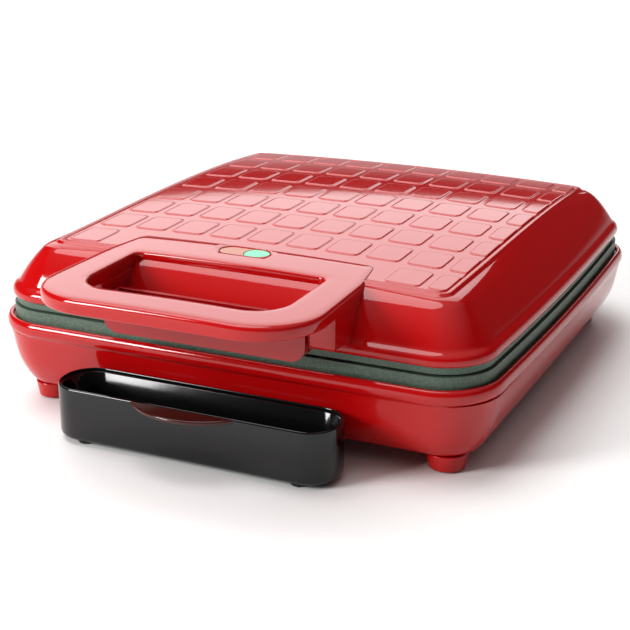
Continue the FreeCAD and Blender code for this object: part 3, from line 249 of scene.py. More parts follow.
# ---------------------------------------------------------------- plan outlines and lofts
@dataclass(frozen=True)
class Plan:
    """A closed plan outline: a rectangle with round corners and softly bowed sides."""

    half_x: float
    front: float
    back: float
    front_corner: float
    back_corner: float
    bow: float = 0.0
    centre_x: float = 0.0
    corner_steps: int = 14
    side_steps: int = 26

    def inset(self, by: float) -> Plan:
        """The same outline moved in by a distance."""
        return replace(self, half_x=self.half_x - by, front=self.front + by, back=self.back - by,
                       front_corner=max(self.front_corner - by, SMALLEST_CORNER),
                       back_corner=max(self.back_corner - by, SMALLEST_CORNER))

    def toward(self, other: Plan, share: float) -> Plan:
        """Blends this outline with another.

        Args:
            other: The outline at a share of 1.
            share: How far to go.

        Returns:
            The outline between the two.
        """
        names = ("half_x", "front", "back", "front_corner", "back_corner", "bow", "centre_x")
        sizes = {name: (getattr(self, name), getattr(other, name)) for name in names}
        return replace(self, **{name: mine + (its - mine) * share for name, (mine, its) in sizes.items()})

    def points(self) -> list[Point]:
        """Walks anticlockwise from the right side of the front right corner.

        Returns:
            The outline's points.
        """
        depth_half = (self.back - self.front) / 2
        middle = (self.back + self.front) / 2
        corners = ((1, -1, self.front_corner, -90.0), (1, 1, self.back_corner, 0.0),
                   (-1, 1, self.back_corner, 90.0), (-1, -1, self.front_corner, 180.0))
        arcs = []
        for sx, sy, radius, start in corners:
            cx = sx * (self.half_x - radius)
            cy = sy * (depth_half - radius)
            turn = [math.radians(start + 90.0 * i / self.corner_steps)
                    for i in range(self.corner_steps + 1)]
            arcs.append([(cx + radius * math.cos(a), cy + radius * math.sin(a)) for a in turn])
        found: list[Point] = []
        for i, arc in enumerate(arcs):
            found += arc
            ax, ay = arc[-1]
            bx, by = arcs[(i + 1) % 4][0]
            found += [(ax + (bx - ax) * j / self.side_steps, ay + (by - ay) * j / self.side_steps)
                      for j in range(1, self.side_steps)]
        return [(self.centre_x + x
                 - math.copysign(self.bow, x) * abs(x) / self.half_x * (y / depth_half) ** 2,
                 middle + y) for x, y in found]


@dataclass(frozen=True)
class Ring:
    """One loop of a loft: an outline and the height of each of its points."""

    plan: Plan
    height: float | Height
    taper: Callable[[Point], Point] | None = None

    def places(self, origin: Vector) -> list[Vector]:
        """Places the loop in the part's frame.

        Args:
            origin: The middle of the lower plate at the table, in metres.

        Returns:
            The loop's points in metres.
        """
        flat = self.plan.points()
        if self.taper:
            flat = [self.taper(p) for p in flat]
        level = self.height if callable(self.height) else (lambda _x, _y: self.height)
        return [origin + Vector((x, y, level(x, y))) * MM for x, y in flat]


def ring_edges(bm: bmesh.types.BMesh, verts: Sequence[bmesh.types.BMVert]) -> list[bmesh.types.BMEdge]:
    """The edges between neighbours in a closed run of vertices."""
    return [bm.edges.get((verts[i - 1], verts[i])) for i in range(len(verts))]


def grow_ring(bm: bmesh.types.BMesh, verts: Sequence[bmesh.types.BMVert],
              edges: Sequence[bmesh.types.BMEdge]) -> list[bmesh.types.BMVert]:
    """Extrudes a ring of edges.

    Args:
        bm: The mesh.
        verts: The ring's vertices in order.
        edges: The edges between them.

    Returns:
        The new vertices, in the order of the ones they grew from.
    """
    grown = bmesh.ops.extrude_edge_only(bm, edges=edges)["geom"]
    fresh = {g for g in grown if isinstance(g, bmesh.types.BMVert)}
    return [next(e.other_vert(v) for e in v.link_edges if e.other_vert(v) in fresh) for v in verts]


def loft(bm: bmesh.types.BMesh, rings: Sequence[Ring], origin: Vector, closed: bool, cap_first: bool = False,
         cap_last: bool = False) -> None:
    """Draws a skin through the rings by extruding the first one from loop to loop.

    Args:
        bm: The mesh to add to.
        rings: The loops, in order.
        origin: The middle of the lower plate at the table, in metres.
        closed: Whether the last loop joins the first.
        cap_first: Whether the first loop is closed by a face.
        cap_last: Whether the last loop is closed by a face.
    """
    first = rings[0].places(origin)
    made = bmesh.ops.create_circle(bm, cap_ends=False, segments=len(first), radius=1.0)["verts"]
    for vert, place in zip(made, first):
        vert.co = place
    current = list(made)
    loops = [ring_edges(bm, current)]
    if cap_first:
        bmesh.ops.contextual_create(bm, geom=loops[0])
    for ring in rings[1:]:
        current = grow_ring(bm, current, loops[-1])
        for vert, place in zip(current, ring.places(origin)):
            vert.co = place
        loops.append(ring_edges(bm, current))
    if closed:
        bmesh.ops.bridge_loops(bm, edges=loops[0] + loops[-1])
    elif cap_last:
        bmesh.ops.contextual_create(bm, geom=loops[-1])


class Workshop:
    """Makes finished objects and keeps the materials, each built once."""

    def __init__(self, frame: dict) -> None:
        """Keeps the frame, the plate's middle and each node's record slot.
        """
        low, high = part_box("lower_plate")
        self.origin = Vector(((low.x + high.x) / 2, (low.y + high.y) / 2, 0.0))
        self.nodes: dict[str, bpy.types.Object] = frame["nodes"]
        self.slots: dict[str, str] = {s["node"]: s["material_slot"] for s in frame["record"]["subparts"]}
        bodies = frame["record"]["behaviour"]["bodies"]
        self.bodies: dict[str, str] = {node: body for body, nodes in bodies.items() for node in nodes}
        self._materials: dict[str, bpy.types.Material] = {}

    def material(self, finish: Finish) -> bpy.types.Material:
        """Gives a finish's material, made the first time it is asked for.

        Args:
            finish: The finish.

        Returns:
            The material.
        """
        if finish.name not in self._materials:
            self._materials[finish.name] = finish.build()
        return self._materials[finish.name]

    def place(self, x: float, y: float, z: float) -> Vector:
        """Metres in the part's frame from millimetres about the plate's middle."""
        return self.origin + Vector((x, y, z)) * MM

    def finish_piece(self, bm: bmesh.types.BMesh, name: str, finish: Finish, body: str,
                     stands_for: Iterable[str] = (), slot: str = "", crease: float = 38.0,
                     outward: bool = True) -> bpy.types.Object:
        """Turns a bmesh into a finished object that rides on a body.

        Args:
            bm: The mesh, freed here.
            name: The piece's name.
            finish: Its finish.
            body: The body it moves with.
            stands_for: CAD nodes that it replaces.
            slot: The record's material slot, if it isn't a replaced node's. Not used.
            crease: Edges sharper than this many degrees stay crisp.
            outward: Whether faces are turned to point outwards.

        Returns:
            The object.
        """
        if outward:
            bmesh.ops.recalc_face_normals(bm, faces=bm.faces)
        mesh = bpy.data.meshes.new(name)
        bm.to_mesh(mesh)
        bm.free()
        mesh.materials.append(self.material(finish))
        mesh.shade_smooth()
        mesh.set_sharp_from_angle(angle=math.radians(crease))
        obj = bpy.data.objects.new(name, mesh)
        bpy.context.scene.collection.objects.link(obj)
        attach(obj, body)
        nodes = list(stands_for)
        if nodes:
            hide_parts(*nodes)
        LOG.info("%s: %d faces", name, len(mesh.polygons))
        return obj

    def soften(self, node: str, finish: Finish, radius: float, limit: float = 34.0,
               segments: int = 2) -> bpy.types.Object:
        """Stands a round-edged copy in for a CAD node.

        Args:
            node: The CAD node.
            finish: The copy's finish.
            radius: Edge radius in millimetres.
            limit: Edges that turn by more than this many degrees are rounded.
            segments: Steps across each round.

        Returns:
            The copy.
        """
        bm = bmesh.new()
        bm.from_mesh(self.nodes[node].data)
        bmesh.ops.remove_doubles(bm, verts=bm.verts, dist=0.004 * MM)
        bmesh.ops.dissolve_limit(bm, angle_limit=math.radians(0.6), verts=bm.verts, edges=bm.edges)
        obj = self.finish_piece(bm, "soft_" + node, finish, self.bodies[node], (node,), outward=False)
        bevel = obj.modifiers.new("round_edges", "BEVEL")
        bevel.width = radius * MM
        bevel.segments = segments
        bevel.limit_method = "ANGLE"
        bevel.angle_limit = math.radians(limit)
        bevel.use_clamp_overlap = True
        bevel.harden_normals = False
        return obj

    def dress(self, node: str, finish: Finish) -> None:
        """Puts a finish on a CAD node that is shown as it is.

        Args:
            node: The CAD node.
            finish: Its finish.
        """
        mesh = self.nodes[node].data
        mesh.materials.clear()
        mesh.materials.append(self.material(finish))


# ---------------------------------------------------------------- the lid
@dataclass
class Lid:
    """Red lid shell: rolled rim, leaning wall, tilted crown and the embossed panel."""

    shop: Workshop
    rim: Plan = Plan(half_x=151.0, front=-154.0, back=154.0, front_corner=30.0, back_corner=30.0, bow=4.0)
    top: Plan = Plan(half_x=128.5, front=-135.0, back=144.0, front_corner=14.0, back_corner=14.0, bow=1.0)
    rim_low: float = 64.2
    rim_high: float = 73.0
    wall_inset: float = 4.4
    wall_bulge: float = 1.2
    skin: float = 2.5
    step: float = 1.2
    crown_high: float = 96.0
    crown_across: float = 2.4
    crown_square: float = 3.0
    crown_cube: float = 1.9
    crown_run: float = 130.0
    panel_half: float = 122.0
    shoulder_round: float = 4.5
    pad_first: Point = (-104.2, -110.0)
    pad_pitch: Point = (24.6, 33.0)
    pad_size: Point = (20.0, 25.0)
    pad_corner: float = 3.4
    pad_high: float = 0.58
    pad_edge_out: float = 0.35      # where a pad starts to rise, outside its outline
    pad_edge_wide: float = 0.75
    pad_count: tuple[int, int] = (10, 8)
    pad_gap: range = range(1, 8)    # columns of the front row that the bridge takes the place of
    field_inset: float = 10.2
    field_corner: float = 7.0
    border_wide: float = 1.3
    border_dip: float = 1.0
    line_gap: float = 0.24          # grid lines closer than this are merged

    def crown(self, x: float, y: float) -> float:
        """Finds the height of the panel's top.

        Args:
            x: The place, in millimetres from the plate's middle.
            y: The same, front to back.

        Returns:
            The height in millimetres.
        """
        run = y / self.crown_run
        side = self.crown_high - self.crown_square * run ** 2 - self.crown_cube * run ** 3
        return side + self.crown_across * (1 - (x / self.panel_half) ** 2)

    def over_crown(self, by: float) -> Height:
        """A height that follows the crown at a distance."""
        return lambda x, y: self.crown(x, y) + by

    def wall(self, up: float, inset: float = 0.0) -> Ring:
        """Makes a loop of the leaning wall.

        Args:
            up: Share of the wall's height.
            inset: How far inside the outer face it lies.

        Returns:
            The loop.
        """
        foot = self.rim.inset(self.wall_inset)
        plan = foot.toward(self.top, up).inset(inset - self.wall_bulge * 4 * up * (1 - up))
        level = self.top_level(-inset)

        def height(x: float, y: float) -> float:
            return self.rim_high + (level(x, y) - self.rim_high) * up
        return Ring(plan, height)

    def top_level(self, by: float) -> Height:
        """Finds the plane of the wall's top edge, which tilts back.

        Args:
            by: How far above the edge.

        Returns:
            Its height at a place on the plan.
        """
        front = self.crown(self.top.half_x, self.top.front) - self.step + by
        back = self.crown(self.top.half_x, self.top.back) - self.step + by
        slope = (back - front) / (self.top.back - self.top.front)
        return lambda _x, y: front + slope * (y - self.top.front)

    def shell_rings(self) -> list[Ring]:
        """Lists the skin's loops.

        Returns:
            The loops from under the inner roof, round the rim and up to the panel's groove.
        """
        high = self.rim_high
        low = self.rim_low
        lip = self.rim
        rings = [self.wall(1.0, self.skin), self.wall(0.5, self.skin), self.wall(0.0, self.skin)]
        seat_profile = ((6.9, 68.2), (9.5, 68.2), (9.5, 66.3), (2.1, 66.3), (2.1, low + 0.2), (2.4, low))
        rings += [Ring(lip.inset(d), z) for d, z in seat_profile]
        rim_profile = ((1.7, low), (0.9, low + 0.25), (0.35, low + 0.9), (0.05, low + 1.9), (0.0, low + 2.9),
                       (0.15, low + 4.0), (0.55, low + 5.0), (1.2, low + 5.9), (2.1, low + 6.7),
                       (3.05, high - 1.4), (3.8, high - 0.7), (self.wall_inset, high + 0.3))
        rings += [Ring(lip.inset(d), z) for d, z in rim_profile]
        rings += [self.wall(up) for up in (0.16, 0.33, 0.5, 0.67)]
        rings.append(self.wall(1.0))
        edge = self.top
        rings.append(Ring(edge.inset(4.9), self.over_crown(-self.step)))
        panel_profile = ((5.6, -0.95), (6.3, -0.35), (6.9, 0.15), (7.6, 0.4), (8.6, 0.42), (9.3, 0.2),
                         (9.9, -0.35), (10.3, -0.8), (10.9, -1.0))
        rings += [Ring(edge.inset(d), self.over_crown(rise)) for d, rise in panel_profile]
        return rings

    def build_shell(self) -> bpy.types.Object:
        """Makes the closed double-walled shell.

        Returns:
            The object.
        """
        bm = bmesh.new()
        loft(bm, self.shell_rings(), self.shop.origin, closed=False, cap_first=True, cap_last=True)
        shoulder = self.wall(1.0).places(self.shop.origin)
        known = {(round(p.x, 6), round(p.y, 6), round(p.z, 6)) for p in shoulder}
        edges = [e for e in bm.edges
                 if all((round(v.co.x, 6), round(v.co.y, 6), round(v.co.z, 6)) in known for v in e.verts)]
        bmesh.ops.bevel(bm, geom=edges, offset=self.shoulder_round * MM, offset_type="OFFSET", segments=7,
                        profile=0.5, affect="EDGES", material=-1, clamp_overlap=True)
        return self.shop.finish_piece(bm, "lid_skin", RED_ABS, "lid", ("lid_shell",), crease=50.0)

    def pad_rise(self, x: float, y: float) -> float:
        """Finds how much the embossed squares lift the panel.

        Args:
            x: The place, in millimetres from the plate's middle.
            y: The same, front to back.

        Returns:
            The lift in millimetres.
        """
        half_w = self.pad_size[0] / 2 - self.pad_corner
        half_d = self.pad_size[1] / 2 - self.pad_corner
        column = min(max(round((x - self.pad_first[0]) / self.pad_pitch[0]), 0), self.pad_count[0] - 1)
        row = min(max(round((y - self.pad_first[1]) / self.pad_pitch[1]), 0), self.pad_count[1] - 1)
        if row == 0 and column in self.pad_gap:
            return 0.0
        dx = abs(x - self.pad_first[0] - column * self.pad_pitch[0]) - half_w
        dy = abs(y - self.pad_first[1] - row * self.pad_pitch[1]) - half_d
        away = math.hypot(max(dx, 0.0), max(dy, 0.0)) + min(max(dx, dy), 0.0) - self.pad_corner
        share = min(max((self.pad_edge_out - away) / self.pad_edge_wide, 0.0), 1.0)
        return self.pad_high * share * share * (3 - 2 * share)

    def field_lines(self, low: float, high: float, first: float, pitch: float, size: float,
                    count: int) -> list[float]:
        """Grid lines across the panel, close together where a pad's edge or the border is.

        Args:
            low: The field's lower end.
            high: Its upper end.
            first: The middle of the first pad.
            pitch: From pad to pad.
            size: A pad's width.
            count: How many pads there are.

        Returns:
            The lines' places in order.
        """
        near = (-1.0, -0.5, -0.15, 0.2, 0.6, 1.1, 1.8, 2.6, 3.6, 5.5)
        border = (0.0, 0.3, 0.7, 1.1, 1.6, 2.4, 3.4, 4.6, 6.0, 7.6)
        lines = [low + d for d in border] + [high - d for d in border]
        for i in range(count):
            middle = first + i * pitch
            lines += [middle] + [middle - size / 2 + d for d in near] + [middle + size / 2 - d for d in near]
        inside = sorted(v for v in lines if low <= v <= high)
        kept = [inside[0]]
        for v in inside[1:]:
            if v - kept[-1] > self.line_gap:
                kept.append(v)
        kept[-1] = high
        return kept

    def build_field(self, hidden: Plan) -> bpy.types.Object:
        """Makes the panel's field with its embossed squares.

        Args:
            hidden: The handle's bridge, under which the field is left open.

        Returns:
            The object.
        """
        edge = self.top.inset(self.field_inset)
        xs, ys = (self.field_lines(low, high, self.pad_first[axis], self.pad_pitch[axis], self.pad_size[axis],
                                   self.pad_count[axis])
                  for axis, (low, high) in enumerate(((-edge.half_x, edge.half_x), (edge.front, edge.back))))
        bm = bmesh.new()
        bmesh.ops.create_grid(bm, x_segments=len(xs) - 1, y_segments=len(ys) - 1, size=1.0)
        corner = self.field_corner
        for vert in bm.verts:
            x = xs[round((vert.co.x + 1) / 2 * (len(xs) - 1))]
            y = ys[round((vert.co.y + 1) / 2 * (len(ys) - 1))]
            cx = math.copysign(edge.half_x - corner, x)
            cy = edge.back - corner if y > 0 else edge.front + corner
            out_x = max(abs(x) - abs(cx), 0.0)
            out_y = max((y - cy) if y > 0 else (cy - y), 0.0)
            reach = math.hypot(out_x, out_y)
            if out_x and out_y and reach > corner:
                x = cx + math.copysign(out_x * corner / reach, x)
                y = cy + math.copysign(out_y * corner / reach, y)
                reach = corner
            if out_x and out_y:
                rim = corner - reach
            else:
                rim = min(edge.half_x - abs(x), edge.back - y, y - edge.front)
            dip = max(1.0 - rim / self.border_wide, 0.0)
            z = self.crown(x, y) + self.pad_rise(x, y) - self.border_dip * dip * dip
            vert.co = self.shop.place(x, y, z)
        bmesh.ops.remove_doubles(bm, verts=bm.verts, dist=0.05 * MM)
        under = [f for f in bm.faces if self._inside(f.calc_center_median(), hidden)]
        bmesh.ops.delete(bm, geom=under, context="FACES")
        return self.shop.finish_piece(bm, "lid_field", RED_ABS, "lid", (), "red_shell", crease=60.0,
                                      outward=False)

    def _inside(self, place: Vector, plan: Plan) -> bool:
        """Tests whether a place lies within an outline's box.

        Args:
            place: The place in metres.
            plan: The outline.

        Returns:
            Whether it does.
        """
        x = (place.x - self.shop.origin.x) / MM
        y = (place.y - self.shop.origin.y) / MM
        return abs(x - plan.centre_x) < plan.half_x and plan.front < y < plan.back


# ---------------------------------------------------------------- the handle
@dataclass
class Handle:
    """Loop handle with its bridge on the lid, the lamps' recess and the two necks."""

    shop: Workshop
    offset: float = -3.0
    half: float = 82.0
    front: float = -221.0
    back: float = -101.0
    root: float = -134.0
    taper: float = 2.8
    bridge_half: float = 73.5
    corner: float = 38.0
    back_corner: float = 6.0
    top: float = 98.5
    fall: float = 1.5
    skirt_low: float = 89.5
    slot: Plan = Plan(half_x=58.5, front=-198.5, back=-134.0, front_corner=20.0, back_corner=5.0,
                      centre_x=-3.0, corner_steps=16, side_steps=24)
    neck_inner: float = 61.4
    neck_outer: float = 76.5
    neck_front: float = -172.0
    neck_long: float = 36.0
    neck_low: float = 66.9
    neck_tall: float = 24.0
    neck_lift: float = 5.0          # how much higher a neck's front edge hangs
    neck_round: float = 2.2
    lamp_at: Point = (-5.2, -111.3)
    lamp_spread: float = 8.2
    lamp_radius: float = 6.8
    lamp_floor: float = 96.3
    lamp_steps: int = 72
    opened_side: float = 4.0        # how far the top is opened past the lenses
    opened_front: float = 1.5
    opened_back: float = 2.9        # where the opening ends, from the bridge's rear edge
    hidden_front: float = -140.0
    hidden_edge: float = 2.0        # how far the panel runs in under the bridge

    def outer(self) -> Plan:
        """The loop's and the bridge's outline, before it tapers."""
        return Plan(half_x=self.half, front=self.front, back=self.back, front_corner=self.corner,
                    back_corner=self.back_corner, centre_x=self.offset, corner_steps=16, side_steps=24)

    def hidden(self) -> Plan:
        """What the bridge hides of the lid's panel."""
        return Plan(half_x=self.bridge_half - self.hidden_edge, front=self.hidden_front,
                    back=self.back - self.hidden_edge, front_corner=5.0, back_corner=5.0,
                    centre_x=self.offset)

    def narrow(self, place: Point) -> Point:
        """Moves a point of the outline in, as the loop tapers to its bridge.

        Args:
            place: The point on the plan.

        Returns:
            The moved point.
        """
        x, y = place
        if y < self.root:
            wide = self.half - self.taper * (y - self.front) / (self.root - self.front)
        else:
            run = (y - self.root) / (self.back - self.root)
            wide = self.half - self.taper + (self.bridge_half - self.half + self.taper) * run
        return self.offset + (x - self.offset) * wide / self.half, y

    def crest(self, by: float) -> Height:
        """A height that follows the handle's crowned top at a distance."""
        return lambda x, _y: self.top - self.fall * ((x - self.offset) / self.half) ** 2 + by

    def share_taper(self, share: float) -> Callable[[Point], Point]:
        """Makes a weaker taper, which fades out towards the slot.

        Args:
            share: How much of the taper is left.

        Returns:
            The function that moves a point.
        """
        def move(place: Point) -> Point:
            nx, ny = self.narrow(place)
            return place[0] + (nx - place[0]) * share, ny
        return move

    def build_loop(self) -> bpy.types.Object:
        """Makes the loop and bridge as one closed ring round the slot.

        Returns:
            The object.
        """
        outer = self.outer()
        hole = self.slot
        whole = self.share_taper(1.0)
        outer_round = ((0.0, 3.0), (0.12, 2.1), (0.5, 1.25), (1.15, 0.6), (2.0, 0.2), (3.0, 0.0))
        slot_round = ((-0.9, 0.12), (-0.35, 0.5), (-0.05, 1.2), (0.0, 1.8))
        rings = [Ring(outer.inset(d), self.crest(-drop), whole) for d, drop in outer_round]
        start = outer.inset(3.0)
        end = hole.inset(-1.6)
        rings += [Ring(start.toward(end, s), self.crest(0.0), self.share_taper(1 - s))
                  for s in (0.2, 0.4, 0.6, 0.8, 1.0)]
        rings += [Ring(hole.inset(d), self.crest(-drop)) for d, drop in slot_round]
        rings += [Ring(hole, self.skirt_low + 1.0), Ring(hole.inset(-0.3), self.skirt_low + 0.3),
                  Ring(hole.inset(-1.0), self.skirt_low)]
        rings += [Ring(hole.inset(-1.0).toward(outer.inset(1.2), s), self.skirt_low, self.share_taper(s))
                  for s in (0.3, 0.7, 1.0)]
        rings += [Ring(outer.inset(0.35), self.skirt_low + 0.3, whole),
                  Ring(outer, self.skirt_low + 1.2, whole)]
        bm = bmesh.new()
        loft(bm, rings, self.shop.origin, closed=True)
        self.sink_lamps(bm)
        return self.shop.finish_piece(bm, "handle_loop", RED_ABS, "lid", ("handle",), crease=55.0)

    def sink_lamps(self, bm: bmesh.types.BMesh) -> None:
        """Opens the bridge's top round the lamps and sinks their recess.

        Args:
            bm: The loop's mesh.
        """
        lamp_x, lamp_y = self.lamp_at
        half = self.lamp_spread
        reach_x = half + self.lamp_radius + self.opened_side
        bridge_back = self.back - self.opened_back
        bridge_front = lamp_y - self.lamp_radius - self.opened_front
        opened = []
        for face in bm.faces:
            place = (face.calc_center_median() - self.shop.origin) / MM
            if (abs(place.x - lamp_x) < reach_x and bridge_front < place.y < bridge_back
                    and place.z > self.lamp_floor):
                opened.append(face)
        edge_of_hole = [e for e in {e for f in opened for e in f.edges}
                        if sum(f in opened for f in e.link_faces) == 1]
        bmesh.ops.delete(bm, geom=opened, context="FACES")
        recess_profile = ((0.55, 0.0), (0.4, 0.05), (0.3, 0.25), (0.28, 0.6), (0.28, 2.0))
        made = bmesh.ops.create_circle(bm, cap_ends=False, segments=self.lamp_steps, radius=1.0)["verts"]
        current = sorted(made, key=lambda v: math.atan2(v.co.y, v.co.x))
        turns = [math.atan2(v.co.y, v.co.x) for v in current]
        loop = ring_edges(bm, current)
        rim = loop
        for row, (gap, drop) in enumerate(recess_profile):
            if row:
                current = grow_ring(bm, current, loop)
                loop = ring_edges(bm, current)
            for vert, turn in zip(current, turns):
                shift = math.copysign(half, math.cos(turn)) if abs(math.cos(turn)) > 1e-6 else 0.0
                x = lamp_x + shift + (self.lamp_radius + gap) * math.cos(turn)
                y = lamp_y + (self.lamp_radius + gap) * math.sin(turn)
                vert.co = self.shop.place(x, y, self.crest(-drop)(x, y))
        bmesh.ops.contextual_create(bm, geom=loop)
        bmesh.ops.triangle_fill(bm, use_beauty=True, use_dissolve=False, edges=edge_of_hole + rim)

    def build_necks(self) -> bpy.types.Object:
        """Makes the two necks that come down the lid's front wall.

        Returns:
            The object.
        """
        bm = bmesh.new()
        wide = self.neck_outer - self.neck_inner
        long = self.neck_long
        tall = self.neck_tall
        for side in (-1, 1):
            middle = self.shop.place(side * (self.neck_inner + wide / 2), self.neck_front + long / 2,
                                     self.neck_low + tall / 2)
            made = bmesh.ops.create_cube(bm, size=1.0, matrix=Matrix.Translation(middle)
                                         @ Matrix.Diagonal((wide * MM, long * MM, tall * MM, 1.0)))["verts"]
            for vert in made:
                if vert.co.z < middle.z and vert.co.y < middle.y:
                    vert.co.z += self.neck_lift * MM
            edges = list({e for v in made for e in v.link_edges})
            bmesh.ops.bevel(bm, geom=edges, offset=self.neck_round * MM, offset_type="OFFSET", segments=5,
                            profile=0.5, affect="EDGES", material=-1)
        return self.shop.finish_piece(bm, "handle_necks", RED_ABS, "lid", (), "red_handle", crease=50.0)


# ---------------------------------------------------------------- the base
@dataclass
class Base:
    """Red base shell with its rolled rim, and the pieces under it."""

    shop: Workshop
    rim: Plan = Plan(half_x=155.0, front=-158.0, back=158.0, front_corner=34.0, back_corner=34.0, bow=4.0)
    wall_bow: float = 1.0
    rim_low: float = 44.5
    rim_high: float = 53.0
    foot_top: float = 10.0
    floor: float = 2.5
    hatch: Plan = Plan(half_x=96.0, front=-99.0, back=99.0, front_corner=8.0, back_corner=8.0)

    def wall(self, inset: float, z: float) -> Ring:
        """A loop of the wall, whose sides bow less than the rim's."""
        return Ring(replace(self.rim.inset(inset), bow=self.wall_bow), z)

    def build_shell(self) -> bpy.types.Object:
        """Makes the shell as one closed ring round its hatch.

        Returns:
            The object.
        """
        high = self.rim_high
        low = self.rim_low
        rim_profile = ((12.0, 50.0), (4.05, 50.0), (4.0, high - 1.6), (3.8, high - 0.7), (3.3, high - 0.15),
                       (2.6, high), (1.9, high - 0.15), (1.1, high - 0.7), (0.5, high - 1.7),
                       (0.1, high - 3.0), (0.0, high - 4.4), (0.15, low + 2.6), (0.55, low + 1.5),
                       (1.2, low + 0.6), (2.0, low), (2.7, low - 0.25))
        belly_profile = ((3.4, low - 0.7), (3.75, low - 2.0), (4.5, 38.0), (5.4, 32.5), (6.6, 27.0),
                         (8.6, 21.5), (11.5, 16.2), (13.2, 13.6), (14.8, 11.8), (16.8, 10.4),
                         (19.0, self.foot_top))
        inner_profile = ((14.2, 18.0), (9.2, 27.0), (6.4, 40.0), (6.2, 47.4))
        rings = [Ring(self.rim.inset(d), z) for d, z in rim_profile]
        rings += [self.wall(d, z) for d, z in belly_profile]
        under = rings[-1].plan
        rings += [Ring(under.toward(self.hatch, s), self.foot_top) for s in (0.5, 1.0)]
        rings += [Ring(self.hatch, self.foot_top + self.floor)]
        rings += [Ring(self.hatch.toward(under, s), self.foot_top + self.floor) for s in (0.5, 1.0)]
        rings += [self.wall(d, z) for d, z in inner_profile]
        rings += [Ring(self.rim.inset(12.0), 47.5)]
        bm = bmesh.new()
        loft(bm, rings, self.shop.origin, closed=True)
        return self.shop.finish_piece(bm, "base_skin", RED_ABS, "base", ("base_shell",), crease=48.0)

    def build_small_pieces(self) -> None:
        """Softens the feet and dresses what is under and inside the base."""
        for corner in ("front_left", "front_right", "rear_left", "rear_right"):
            self.shop.soften("foot_" + corner, RED_ABS, 0.8, segments=3)
        self.shop.dress("rubber_pads", RUBBER)
        self.shop.soften("bottom_cover", ERODED_NYLON, 0.4)
        for node in ("foot_screws", "cover_screws", "bracket_screws", "lower_plate_screws"):
            self.shop.dress(node, PLATED_STEEL)
        self.shop.dress("terminal_block", STEATITE)
        self.shop.dress("lower_heater", HEATER_SHEATH)
        self.shop.dress("lower_reflector", ROLLED_ALUMINIUM)
        self.shop.dress("lower_leads", GLASS_SLEEVE)
        self.shop.dress("thermostat", ROLLED_ALUMINIUM)
        self.shop.dress("thermal_fuse", ROLLED_ALUMINIUM)
        self.shop.soften("cord_gland", RUBBER, 0.7, segments=3)
        self.shop.soften("lower_plate", NONSTICK, 0.5)


@dataclass
class Hinge:
    """Rear brackets, pins and the lid's arms."""

    shop: Workshop

    def build(self) -> None:
        """Softens the mouldings and dresses the pins."""
        for side in ("left", "right"):
            self.shop.soften("hinge_bracket_" + side, ERODED_NYLON, 1.2, segments=3)
            self.shop.soften("lid_arm_" + side, ERODED_NYLON, 1.2, segments=3)
            self.shop.dress("hinge_pin_" + side, GROUND_STEEL)


@dataclass
class LidPieces:
    """What the lid carries: guard, lenses, upper plate and what heats it."""

    shop: Workshop

    def build(self) -> None:
        """Softens or dresses each piece."""
        # The guard's darker red is painted shade from the handle above it.
        self.shop.soften("finger_guard", SHADED_RED_ABS, 0.8, segments=3)
        self.shop.soften("upper_plate", NONSTICK, 0.5)
        self.shop.soften("amber_lens", AMBER_LENS, 0.5, segments=3)
        self.shop.soften("green_lens", MINT_LENS, 0.5, segments=3)
        self.shop.dress("indicator_lamps", LAMP_GLASS)
        self.shop.dress("lamp_holder", ERODED_NYLON)
        for node in ("handle_screws", "arm_screws", "guard_screws", "upper_plate_screws"):
            self.shop.dress(node, PLATED_STEEL)
        self.shop.dress("upper_heater", HEATER_SHEATH)
        self.shop.dress("upper_reflector", ROLLED_ALUMINIUM)
        self.shop.dress("upper_leads", GLASS_SLEEVE)
        self.shop.dress("lid_terminal_block", STEATITE)


